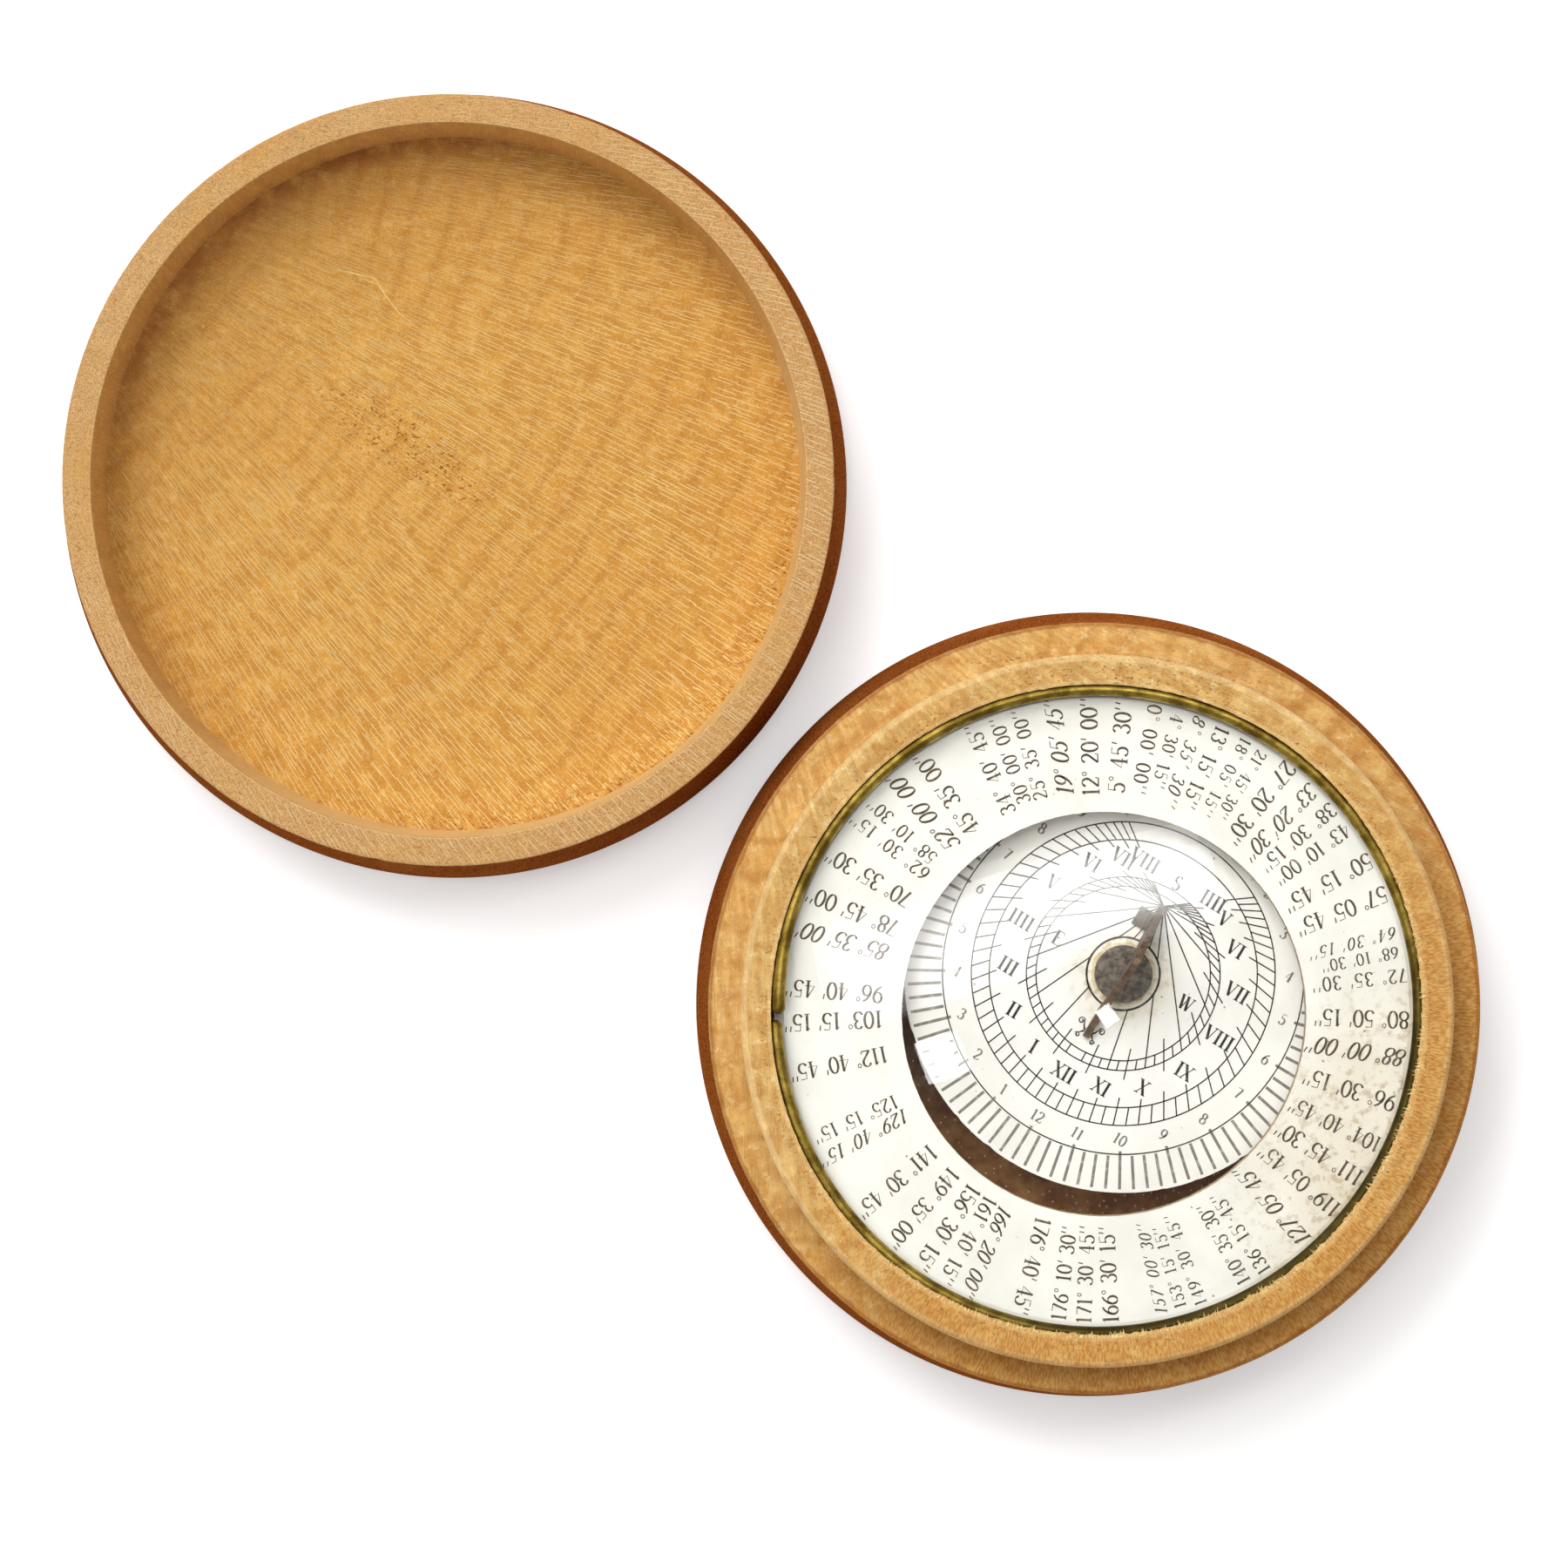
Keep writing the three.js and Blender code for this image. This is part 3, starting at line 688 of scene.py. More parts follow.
def case_move(r, z, angle):
    """Wear on the case: a torn lip at the wire, dents along the ledge's edge and an uneven neck."""
    if z > WIRE_Z + GROOVE_HALF / 2 and r < BORE_R + LIP_WIDTH:
        near = 1 - smooth(r, BORE_R, BORE_R + LIP_WIDTH)
        rag = bumps(angle, 46, 1.0) + 0.6 * bumps(angle, 110, 2.0)
        share = lip_share(angle)
        return -near * (LIP_OVERHANG * share + LIP_RAG * rag * (0.4 + share)), -0.03 * near * rag
    if r > RIM_R - 0.5 and z > LEDGE_Z - 0.6:
        return -0.10 * bumps(angle, 26, 3.0) ** 2, -0.05 * bumps(angle, 34, 4.0)
    if z > NECK_TOP_Z - 1.0:
        return 0.02 * ripple(angle, 20, r), 0.03 * ripple(angle, 40, r * 2)
    return 0.0, 0.0


def case_wear(section, radius, angle):
    """The neck's edge has a painted highlight, strongest on the upper left, the ledge's edge is rubbed brown
    and the lip is torn.
    """
    if section == "crown":
        return {"edge": 0.2 + 0.2 * smooth(math.cos(angle - LIP_BEARING), 0.5, -0.4)}
    if section == "ledge":
        rub = 0.2 + 0.36 * bumps(angle, 18, 12.0) + 0.25 * bumps(angle, 60, 13.0)
        return {"polish": 0.7 * smooth(radius, RIM_R - ARRIS - rub, RIM_R - ARRIS - rub * 0.3)}
    if section == "top":
        return {"torn": 0.9 * (1 - smooth(radius, BORE_R + 0.5, BORE_R + 1.5))}
    return {}


def case_wood():
    wall, arris = outer_profile(LEDGE_Z)
    fillet_r, fillet_z = NECK_R + NECK_FILLET, LEDGE_Z + NECK_FILLET
    ledge = line(arris[-1], (fillet_r, LEDGE_Z), 20)
    ledge += arc(fillet_r, fillet_z, NECK_FILLET, NECK_FILLET, 270, 180, 4)[1:]
    neck = line(ledge[-1], (NECK_R, NECK_TOP_Z - NECK_DROP), 8)
    crown = arc(NECK_R - NECK_ROUND, NECK_TOP_Z - NECK_DROP, NECK_ROUND, NECK_DROP, 0, 90, 8)[1:]
    top = line(crown[-1], (BORE_R + LIP_ROUND, NECK_TOP_Z - LIP_DROP), 12)
    lip = arc(BORE_R + LIP_ROUND, NECK_TOP_Z - LIP_DROP - LIP_DEPTH, LIP_ROUND, LIP_DEPTH, 90, 180, 6)[1:]
    groove = [
        (BORE_R, WIRE_Z + GROOVE_HALF), (BORE_R + GROOVE_REACH, WIRE_Z), (BORE_R, WIRE_Z - GROOVE_HALF),
    ]
    bowl = [(BORE_R, SHELF_Z)]
    for corner in ((BOWL_R, SHELF_Z), (BOWL_R, CASE_FLOOR_Z), (BUSH_SEAT_R, CASE_FLOOR_Z)):
        bowl += line(bowl[-1], corner, 4)
    bowl += [(BUSH_SEAT_R, BUSH_SEAT_Z), (0.0, BUSH_SEAT_Z)]
    sections = {
        "wall": (wall, {"polish": 1.0}),
        "arris": (arris, {"polish": 0.6}),
        "ledge": (ledge, {"grime": 0.15}),
        "neck": (neck, {"grime": 0.2}),
        "crown": (crown, {}),
        "top": (top, {"grime": 0.15}),
        "lip": (lip, {"edge": 0.3, "torn": 0.3}),
        # The groove and the bowl are darkened: painted shade with grime
        "groove": (groove, {"grime": 1.0}),
        "bowl": (bowl, {"grime": 0.6}),
    }
    turned_piece("case_wood", sections, CASE_SEGMENTS, CASE_CENTRE, case_move, case_wear,
                 CASE_WOOD, "case", "base_case", "boxwood_case")


def lid_move(r, z, angle):
    """Wear on the lid: nicks along its rim, an inside turned a little askew and faint marks on its floor."""
    if z > LID_RIM_Z - 0.5:
        nick = bumps(angle, 30, 7.0) ** 2
        return -0.12 * nick * smooth(r, RIM_R - 1.0, RIM_R), -0.04 * nick
    if r > LID_BORE_R or z < LID_FLOOR_Z:
        return 0.0, 0.0
    lean = LID_LEAN * (LID_RIM_Z - z) / (LID_RIM_Z - LID_FLOOR_Z) * min(1.0, r / LID_BED_R)
    mark = 0.012 * ripple(angle, 3 + r / 4, r / 3) if r < LID_BED_R - 0.2 else 0.0
    return -lean * math.cos(angle - TEAR_BEARING), mark


def lid_wear(section, radius, angle):
    """The floor's margin has painted shadow and some staining on the upper left and is torn on the lower
    right, where painted light makes the wall pale.
    """
    toward_tear = math.cos(angle - TEAR_BEARING)
    if section == "inside":
        # Painted light on the inner wall: paler all round, most on the lower right, which faces the lamps
        return {"edge": 0.3 + 0.7 * smooth(toward_tear, -0.2, 0.6)}
    if section in ("bed", "corner"):
        margin = smooth(radius, LID_BED_R - LID_MARGIN, LID_BED_R - 0.2)
        # Painted shadow of the upper left wall, with some staining
        shade_and_stain = 0.75 * smooth(math.cos(angle - SHADE_AND_STAIN_BEARING), 0.45, 0.95)
        return {"grime": margin * shade_and_stain, "torn": margin * smooth(toward_tear, 0.25, 0.85)}
    return {}


def lid_wood():
    wall, arris = outer_profile(LID_RIM_Z)
    rim = line(arris[-1], (LID_BORE_R + ARRIS, LID_RIM_Z), 10)
    inner_edge = arc(LID_BORE_R + ARRIS, LID_RIM_Z - ARRIS, ARRIS, ARRIS, 90, 180, 4)[1:]
    inside = line(inner_edge[-1], (LID_BED_R, LID_FLOOR_Z + 0.1), 10)
    corner = [(LID_BED_R - 0.04, LID_FLOOR_Z + 0.01), (LID_BED_R - 0.12, LID_FLOOR_Z)]
    bed = line(corner[-1], (LID_BED_R - LID_MARGIN, LID_FLOOR_Z), 12)
    bed += line(bed[-1], (0.0, LID_FLOOR_Z), 32)
    sections = {
        "wall": (wall, {"polish": 1.0}),
        "arris": (arris, {"polish": 0.2, "edge": 0.1, "rim": 1.0}),
        "rim": (rim, {"grime": 0.1, "rim": 1.0, "torn": 0.4}),
        "inner_edge": (inner_edge, {"edge": 0.3, "rim": 0.6}),
        "inside": (inside, {"grime": 0.05}),
        "corner": (corner, {}),
        "bed": (bed, {}),
    }
    turned_piece("lid_wood", sections, LID_SEGMENTS, LID_CENTRE, lid_move, lid_wear,
                 LID_WOOD, "lid", "lid", "boxwood_lid")


def sliver(root, heading, length, width):
    """A thin splinter from a root point, thickest near its foot."""
    points = [root + heading * (length * share) for share in (0.0, 0.15, 0.55, 1.0)]
    return tube(points, (0.0, width, width * 0.7, 0.0), 4)


def lip_fibres():
    """Wood fibres that stand out from the neck's torn lip over the wire."""
    draw = random.Random(11)
    parts = []
    for _ in range(LIP_FIBRES):
        angle = draw.uniform(0, 2 * math.pi)
        share = lip_share(angle)
        if draw.random() > 0.2 + 0.8 * share:
            continue
        length = draw.uniform(0.16, 0.34) + 0.4 * share * draw.random() ** 2
        lean = draw.gauss(0.0, 0.5)
        z = NECK_TOP_Z - draw.uniform(0.0, 0.08)
        root_r = BORE_R + 0.25 - LIP_OVERHANG * share
        inward = Vector((-math.cos(angle + lean), -math.sin(angle + lean), draw.uniform(-0.2, 0.15)))
        root = Vector((*around(root_r, angle), z))
        parts.append(sliver(root, inward, length, draw.uniform(0.02, 0.04 + 0.03 * share)))
    piece("lip_fibres", *joined(parts), FIBRE, "case", slot="boxwood_case")


def lid_fibres():
    """Lifted fibres on the lid's floor along its rays, with more at its torn margin, and a pale scratch."""
    draw = random.Random(23)
    parts = []
    for i in range(FLOOR_FIBRES + MARGIN_FIBRES):
        at_margin = i >= FLOOR_FIBRES
        angle = TEAR_BEARING + draw.gauss(0.0, 0.5) if at_margin else draw.uniform(0, 2 * math.pi)
        share = 1 - 0.08 * draw.random() ** 1.5 if at_margin else math.sqrt(draw.random()) * 0.95
        x, y = polar(share * (LID_BED_R - 0.35), math.degrees(angle), LID_CENTRE)
        heading = Vector((x - LID_HEART[0], y - LID_HEART[1], 0.0)).normalized()
        heading.z = draw.uniform(0.0, 0.12) if at_margin else 0.0
        length = draw.uniform(0.3, 0.8) if at_margin else draw.uniform(0.5, 1.8)
        width = draw.uniform(0.025, 0.055) if at_margin else 0.022
        root = Vector((x, y, LID_FLOOR_Z + 0.012)) - heading * length
        parts.append(sliver(root, heading, length, width))
    scratch = [(LID_CENTRE[0] + x, LID_CENTRE[1] + y, LID_FLOOR_Z + 0.02) for x, y in LID_SCRATCH]
    parts.append(tube(scratch, (0.0, *[SCRATCH_HALF] * (len(scratch) - 2), 0.0), 4))
    piece("lid_fibres", *joined(parts), FIBRE, "lid", slot="boxwood_lid")


# Wire and glass

def wire_ring():
    """The split brass wire, its sprung end lifted, with rounded ends."""
    points, radii = [], []
    span = 360.0 - WIRE_SPLIT_ANGLE
    cap = math.degrees(WIRE_RADIUS / WIRE_RING_R)
    caps = [cap * (1 - math.cos(math.radians(15 * i))) for i in range(7)]
    turns = caps + [cap + (span - 2 * cap) * i / WIRE_STEPS for i in range(1, WIRE_STEPS)]
    turns += [span - c for c in reversed(caps)]
    for turn in turns:
        bearing = WIRE_SPLIT_BEARING + WIRE_SPLIT_ANGLE / 2 + turn
        lift = WIRE_LIFT * (1 - smooth(span - turn, 0.0, WIRE_LIFT_ANGLE))
        end = min(turn, span - turn, cap)
        radii.append(WIRE_RADIUS * math.sqrt(max(0.0, 1 - (1 - end / cap) ** 2)))
        points.append((*polar(WIRE_RING_R - lift / 2, bearing), WIRE_Z + lift))
    piece("wire_ring", *tube(points, radii, 28), WIRE_BRASS, "case", ["retaining_ring"], "ring_brass", 60.0)


def dome(edge_r, rise, apex_z):
    """A dome's profile from its apex to its edge."""
    r = (edge_r ** 2 + rise ** 2) / (2 * rise)
    span = math.degrees(math.asin(edge_r / r))
    return [(0.0, apex_z)] + arc(0.0, apex_z - r, r, r, 90, 90 - span, 40)[1:]


def domed_glass():
    """A shallow dome, as thick in the middle as at its edge, on a flat seat."""
    rise = GLASS_APEX_Z - GLASS_SEAT_Z - GLASS_THICKNESS
    inside = dome(GLASS_R - GLASS_SEAT_BAND, rise, GLASS_SEAT_Z + rise)
    outside = dome(GLASS_R, rise, GLASS_APEX_Z)
    profile = [*inside, (GLASS_R, GLASS_SEAT_Z), *reversed(outside)]
    verts, faces, _ = lathe(profile, GLASS_SEGMENTS, CASE_CENTRE)
    piece("domed_glass", verts, faces, GLASS, "case", ["cover_glass"], "cover_glass", 30.0)


# Paper

def sheet_ring(inner, outer, inner_centre, outer_centre, low, high, segments, rag):
    """A closed ring of paper between two circles and two heights, each edge uneven by rag(angle, outside)."""
    rounds = [(0.0, low), *[(t / 8, high) for t in range(9)], (1.0, low)]
    verts = []
    for share, z in rounds:
        for j in range(segments):
            a = 2 * math.pi * j / segments
            ox, oy = around(outer - rag(a, True), a, outer_centre)
            ix, iy = around(inner + rag(a, False), a, inner_centre)
            verts.append((ox + (ix - ox) * share, oy + (iy - oy) * share, z))
    rows = [range(i * segments, (i + 1) * segments) for i in range(len(rounds))]
    return verts, stitched(rows + rows[:1], segments)


def ring_paper():
    def rag(angle, outside):
        return 0.0 if outside else 0.03 * ripple(angle, 60, 5.0)

    sheet = sheet_ring(OPENING_R, RING_R, OPENING_CENTRE, CASE_CENTRE, RING_LOW_Z, RING_TOP_Z,
                       PAPER_SEGMENTS, rag)
    piece("ring_paper", *sheet, RING_PAPER, "case", ["ring_print"], "ring_paper", 30.0)


def card_paper():
    def rag(angle, outside):
        nicks = 0.28 * max(0.0, ripple(angle, 14, 9.0) - 0.25) + 0.03 * ripple(angle, 70, 6.0)
        return max(0.0, nicks) if outside else 0.0

    sheet = sheet_ring(CAP_R - 0.4, CARD_R, CARD_CENTRE, CARD_CENTRE, CARD_LOW_Z, CARD_TOP_Z,
                       PAPER_SEGMENTS, rag)
    piece("card_paper", *sheet, CARD_PAPER, "compass_card", ["card_print"], "card_paper", 30.0)


def cap_and_torn_paper():
    profile = [(0.0, CARD_TOP_Z), (CAP_R, CARD_TOP_Z)]
    profile += arc(CAP_R - CAP_EDGE, CAP_TOP_Z - CAP_EDGE, CAP_EDGE, CAP_EDGE, 0, 90, 6)
    profile += line(profile[-1], (0.0, CAP_TOP_Z - 0.02), 6)

    def dent(r, z, angle):
        return 0.02 * ripple(angle, 5, z), 0.02 * ripple(angle, 2 + r, 3.0) * (z > CARD_TOP_Z + 0.3)

    def rag(angle, outside):
        torn = 0.14 * ripple(angle, 4, 1.5) + 0.10 * ripple(angle, 16, 2.5)
        return torn - 0.05 if outside else 0.0

    verts, faces, _ = lathe(profile, CAP_SEGMENTS, CARD_CENTRE, dent)
    piece("cap_drum", verts, faces, CAP_METAL, "compass_card", ["pivot_cap"], "cap_brass", 40.0)
    inner, low, high = CAP_R + 0.02, CARD_TOP_Z - 0.01, CARD_TOP_Z + 0.1
    torn = sheet_ring(inner, inner + TORN_WIDTH, CARD_CENTRE, CARD_CENTRE, low, high, TORN_SEGMENTS, rag)
    piece("cap_torn_paper", *torn, TORN_PAPER, "compass_card", slot="card_paper", crease=60.0)


# Printing: a stroke is a list of points and a list of widths, as shares of the letter height in a glyph

THICK = 0.19
THIN = 0.07


def nib(points):
    """A stroke's widths: uprights are thick and level strokes thin."""
    widths = []
    for a, b in zip(points[:1] + points[:-1], points[1:] + points[-1:]):
        run, rise = b[0] - a[0], b[1] - a[1]
        widths.append(THIN + (THICK - THIN) * abs(rise) / max(1e-9, math.hypot(run, rise)))
    return widths


def pen(points, weight=None):
    """A stroke along points; weight sets an even width."""
    return points, [weight] * len(points) if weight else nib(points)


def stem(x):
    return pen([(x, 0.0), (x, 1.0)])


def hair(*points):
    return pen(list(points), THIN)


def serif(x, half, y):
    return hair((x - half, y), (x + half, y))


def bow(cx, cy, rx, ry, start, end):
    return arc(cx, cy, rx, ry, start, end, 18)


def glyphs():
    """Plain old-face figures and capitals, each with its width, on a height of 1."""
    six = [(0.5, 0.97), (0.3, 0.84), (0.14, 0.62)] + bow(0.3, 0.31, 0.235, 0.31, 172, 530)
    nine = [(0.6 - x, 1 - y) for x, y in six]
    two = bow(0.29, 0.73, 0.22, 0.27, 165, -35) + [(0.05, 0.03)]
    ess = bow(0.3, 0.75, 0.2, 0.25, 35, 270) + bow(0.3, 0.25, 0.22, 0.25, 90, -145)[1:]
    return {
        "0": (0.62, [pen(bow(0.31, 0.5, 0.25, 0.5, 90, 450))]),
        "1": (0.46, [stem(0.24), hair((0.24, 1.0), (0.1, 0.84)), serif(0.24, 0.15, 0.0)]),
        "2": (0.6, [pen(two), pen([(0.05, 0.03), (0.54, 0.03), (0.56, 0.2)], THIN * 1.4)]),
        "3": (0.56, [pen(bow(0.26, 0.77, 0.2, 0.23, 160, -90)), pen(bow(0.26, 0.27, 0.24, 0.27, 90, -160))]),
        "4": (0.62, [stem(0.42), hair((0.42, 1.0), (0.04, 0.3), (0.6, 0.3)), serif(0.42, 0.14, 0.0)]),
        "5": (0.58, [hair((0.5, 0.98), (0.15, 0.98), (0.12, 0.55)),
                     pen(bow(0.27, 0.31, 0.25, 0.31, 128, -155))]),
        "6": (0.6, [pen(six)]),
        "7": (0.58, [hair((0.05, 0.98), (0.54, 0.98)), pen([(0.54, 0.98), (0.22, 0.0)])]),
        "8": (0.58, [pen(bow(0.29, 0.76, 0.19, 0.24, -90, 270)), pen(bow(0.29, 0.26, 0.24, 0.26, 90, 450))]),
        "9": (0.6, [pen(nine)]),
        "°": (0.34, [hair(*bow(0.14, 0.86, 0.1, 0.12, 0, 360))]),
        "'": (0.24, [pen([(0.12, 1.02), (0.07, 0.7)], THIN * 1.4)]),
        " ": (0.3, []),
        "I": (0.44, [stem(0.22), serif(0.22, 0.18, 0.0), serif(0.22, 0.18, 1.0)]),
        "V": (0.8, [pen([(0.12, 1.0), (0.4, 0.0)], THICK), hair((0.4, 0.0), (0.68, 1.0)),
                    *[serif(x, 0.14, 1.0) for x in (0.12, 0.68)]]),
        "X": (0.8, [pen([(0.12, 1.0), (0.68, 0.0)], THICK), hair((0.68, 1.0), (0.12, 0.0)),
                    *[serif(x, 0.14, y) for y in (1.0, 0.0) for x in (0.12, 0.68)]]),
        "E": (0.72, [stem(0.14), hair((0.02, 1.0), (0.58, 1.0), (0.6, 0.8)),
                     hair((0.14, 0.52), (0.42, 0.52)), hair((0.02, 0.0), (0.6, 0.0), (0.64, 0.22))]),
        "W": (1.1, [pen([(0.12, 1.0), (0.34, 0.0)], THICK), hair((0.34, 0.0), (0.56, 1.0)),
                    pen([(0.5, 1.0), (0.74, 0.0)], THICK), hair((0.74, 0.0), (0.96, 1.0)),
                    *[serif(x, 0.12, 1.0) for x in (0.12, 0.53, 0.96)]]),
        "S": (0.6, [pen(ess)]),
    }


GLYPHS = glyphs()


def text_width(text, height, spacing):
    return sum(GLYPHS[c][0] * height + spacing for c in text) - spacing


def placing(turn, origin):
    """A function that turns a flat point by degrees and sets it off from an origin."""
    cos, sin = math.cos(math.radians(turn)), math.sin(math.radians(turn))
    return lambda x, y: (origin[0] + x * cos - y * sin, origin[1] + x * sin + y * cos)


def write(text, height, start, turn, spacing=0.0, weight=1.0, slant=0.0):
    """Strokes of a line of text that starts at a point and runs in the direction of turn, in degrees."""
    place = placing(turn, start)
    strokes, x0 = [], 0.0
    for character in text:
        width, shapes = GLYPHS[character]
        for points, widths in shapes:
            placed = [place(x0 + (x + y * slant) * height, y * height) for x, y in points]
            strokes.append((placed, [w * height * weight for w in widths]))
        x0 += width * height + spacing
    return strokes


def centred(text, height, middle, spacing=0.0):
    """Upright text about a middle point."""
    start = (middle[0] - text_width(text, height, spacing) / 2, middle[1] - height / 2)
    return write(text, height, start, 0.0, spacing)


def rule(start, end, width=FINE_LINE):
    return [start, end], [width, width]


def circle(radius, width=FINE_LINE, steps=200):
    return arc(0.0, 0.0, radius, radius, 0, 360, steps), [width] * (steps + 1)


def ink_mesh(strokes, turn, centre, top):
    """Closed thin strips for strokes drawn flat, turned and set on a face at a height."""
    place = placing(turn, centre)
    verts, faces = [], []
    for points, widths in strokes:
        first = len(verts)
        count = len(points)
        for i, (x, y) in enumerate(points):
            ax, ay = points[max(0, i - 1)]
            bx, by = points[min(count - 1, i + 1)]
            if i in (0, count - 1) and count > 3 and math.dist(points[0], points[-1]) < 1e-6:
                (ax, ay), (bx, by) = points[-2], points[1]
            length = max(1e-9, math.hypot(bx - ax, by - ay))
            nx, ny = -(by - ay) / length * widths[i] / 2, (bx - ax) / length * widths[i] / 2
            for side, height in ((1, INK_DEPTH), (-1, INK_DEPTH), (-1, -INK_DEPTH), (1, -INK_DEPTH)):
                verts.append((*place(x + side * nx, y + side * ny), top + height))
        for i in range(count - 1):
            a, b = first + 4 * i, first + 4 * (i + 1)
            faces += [(a + (j + 1) % 4, a + j, b + j, b + (j + 1) % 4) for j in range(4)]
        last = first + 4 * (count - 1)
        faces += [(first, first + 1, first + 2, first + 3), (last + 3, last + 2, last + 1, last)]
    return verts, faces


def degrees_between(a, b):
    return abs((a - b + 180) % 360 - 180)


def figure_text(bearing):
    """A plain longitude for a place on the ring."""
    longitude = degrees_between(PRIME_BEARING, bearing)
    minutes = 5 * round((longitude % 1) * 11)
    seconds = 15 * (round(longitude * 10) % 4)
    return f"{int(longitude)}° {minutes:02d}' {seconds:02d}''"


def ring_figures():
    """Plain longitudes set round the ring, read outwards on its upper left and inwards on the rest."""
    strokes = []
    span = FIGURE_OUTER_R - FIGURE_INNER_R
    for i, bearing in enumerate(FIGURE_BEARINGS):
        text = figure_text(bearing)
        room = min(degrees_between(bearing, other) for other in FIGURE_BEARINGS if other != bearing)
        room_mm = math.radians(room) * FIGURE_INNER_R
        height = min(FIGURE_HEIGHT, max(FIGURE_LEAST, room_mm * FIGURE_CROWDING))
        height = min(height, height * span / text_width(text, height, FIGURE_SPACING))
        loose = (span - text_width(text, height, FIGURE_SPACING)) / len(text)
        spacing = FIGURE_SPACING + min(FIGURE_LOOSE, loose * FIGURE_FILLS[i % len(FIGURE_FILLS)])
        outward = OUTWARD_BEARINGS[0] < bearing < OUTWARD_BEARINGS[1]
        turn = bearing if outward else bearing + 180
        spare = span - text_width(text, height, spacing)
        near, far = FIGURE_INNER_R + spare * FIGURE_INDENTS[0], FIGURE_OUTER_R - spare * FIGURE_INDENTS[1]
        foot = polar(near if outward else far, bearing)
        slant = FIGURE_SLANT if i % 5 == 2 else 0.0
        start = polar(height / 2, turn - 90, foot)
        strokes += write(text, height, start, turn, spacing, FIGURE_WEIGHT, slant)
    mesh = ink_mesh(strokes, 0.0, CASE_CENTRE, RING_TOP_Z)
    piece("ring_figures", *mesh, RING_INK, "case", slot="ring_paper")


def card_ink(name, strokes, ink):
    mesh = ink_mesh(strokes, READING_TURN, CARD_CENTRE, CARD_TOP_Z)
    piece(name, *mesh, ink, "compass_card", slot="card_paper")


def hour_direction(hours):
    """The direction of a sundial's hour line from its root, for hours after noon; east is on the left."""
    a = math.radians(15.0 * hours)
    east, north = math.sin(math.radians(LATITUDE)) * math.sin(a), math.cos(a)
    length = math.hypot(east, north)
    return (-east / length, -north / length)


def along_hour_line(hours, distance):
    dx, dy = hour_direction(hours)
    return (dx * distance, DIAL_ROOT + dy * distance)


def on_hour_line(hours, radius, past=0.0):
    """Where an hour line crosses a circle about the card's middle, or a point that far past it."""
    along = DIAL_ROOT * hour_direction(hours)[1]
    return along_hour_line(hours, -along + math.sqrt(along ** 2 - DIAL_ROOT ** 2 + radius ** 2) + past)


def hour_rule(hours, start_r, end_r, before=0.0, past=0.0):
    """An hour line from one circle to another, or from and to points that far past them."""
    return rule(on_hour_line(hours, start_r, before), on_hour_line(hours, end_r, past))


def roman(hour):
    return "X" * (hour // 10) + ("IX" if hour % 10 == 9 else "V" * (hour % 10 // 5) + "I" * (hour % 5))


def hour_lines():
    """The sundial's hour, half-hour and quarter lines, broken for the cap and the numerals."""
    strokes = []
    inner, outer = HOUR_CIRCLES_R, OUTER_CIRCLES_R
    root = (0.0, DIAL_ROOT)
    for quarter in range(-32, 33):
        hours = quarter / 4
        if quarter % 4 == 0:
            end = on_hour_line(hours, inner[1])
            dx, dy = hour_direction(hours)
            past_cap = -DIAL_ROOT * dy
            miss = abs(DIAL_ROOT * dx)
            if miss < CAP_CIRCLE_R and hours:
                half = math.sqrt(CAP_CIRCLE_R ** 2 - miss ** 2)
                strokes.append(rule(root, along_hour_line(hours, past_cap - half)))
                strokes.append(rule(along_hour_line(hours, past_cap + half), end))
            elif hours:
                strokes.append(rule(root, end))
            strokes.append(hour_rule(hours, NUMERAL_R + NUMERAL_GAP, outer[1]))
        elif quarter % 2 == 0:
            strokes += [hour_rule(hours, *inner, *HALF_HOUR_INNER), hour_rule(hours, *outer, HALF_HOUR_OUTER)]
        else:
            strokes += [hour_rule(hours, *inner), hour_rule(hours, *outer)]
    strokes += [circle(r) for r in (*inner, *outer)]
    strokes += [circle(CAP_CIRCLE_R, FINE_LINE * 1.6), circle(SCALE_CIRCLE_R)]
    card_ink("card_hour_lines", strokes, INK)


def curl(x, y, radius, start, turns):
    """A small spiral that winds in to a point."""
    shares = [i / 22 for i in range(23)]
    points = [polar(radius * (1 - 0.75 * t), start + turns * 360 * t, (x, y)) for t in shares]
    return points, [0.07 + 0.06 * t for t in shares]


def lily():
    """A fleur-de-lis at the north point, on both sides of the gnomon's toe."""
    strokes = []
    leaf = [0.16, 0.12, 0.07]
    for side in (-1, 1):
        strokes.append(curl(side * 0.85, -4.5, 0.27, 90 + side * 60, -side * 1.2))
        strokes.append(curl(side * 0.62, -5.55, 0.2, 90 - side * 90, side * 1.2))
        strokes.append(([(side * 0.3, -5.0), (side * 0.5, -4.75), (side * 0.72, -4.24)], leaf))
        strokes.append(([(side * 0.3, -5.05), (side * 0.45, -5.2), (side * 0.6, -5.36)], leaf))
    return strokes


def card_letters():
    """The hour numerals, three compass letters and the north mark."""
    strokes = lily()
    for hours in range(-8, 9):
        middle = on_hour_line(hours, NUMERAL_R)
        strokes += centred(roman((12 + hours - 1) % 12 + 1), NUMERAL_HEIGHT, middle, 0.02)
    for letter, middle in COMPASS_LETTERS.items():
        strokes += centred(letter, NUMERAL_HEIGHT, middle)
    card_ink("card_numerals", strokes, INK)


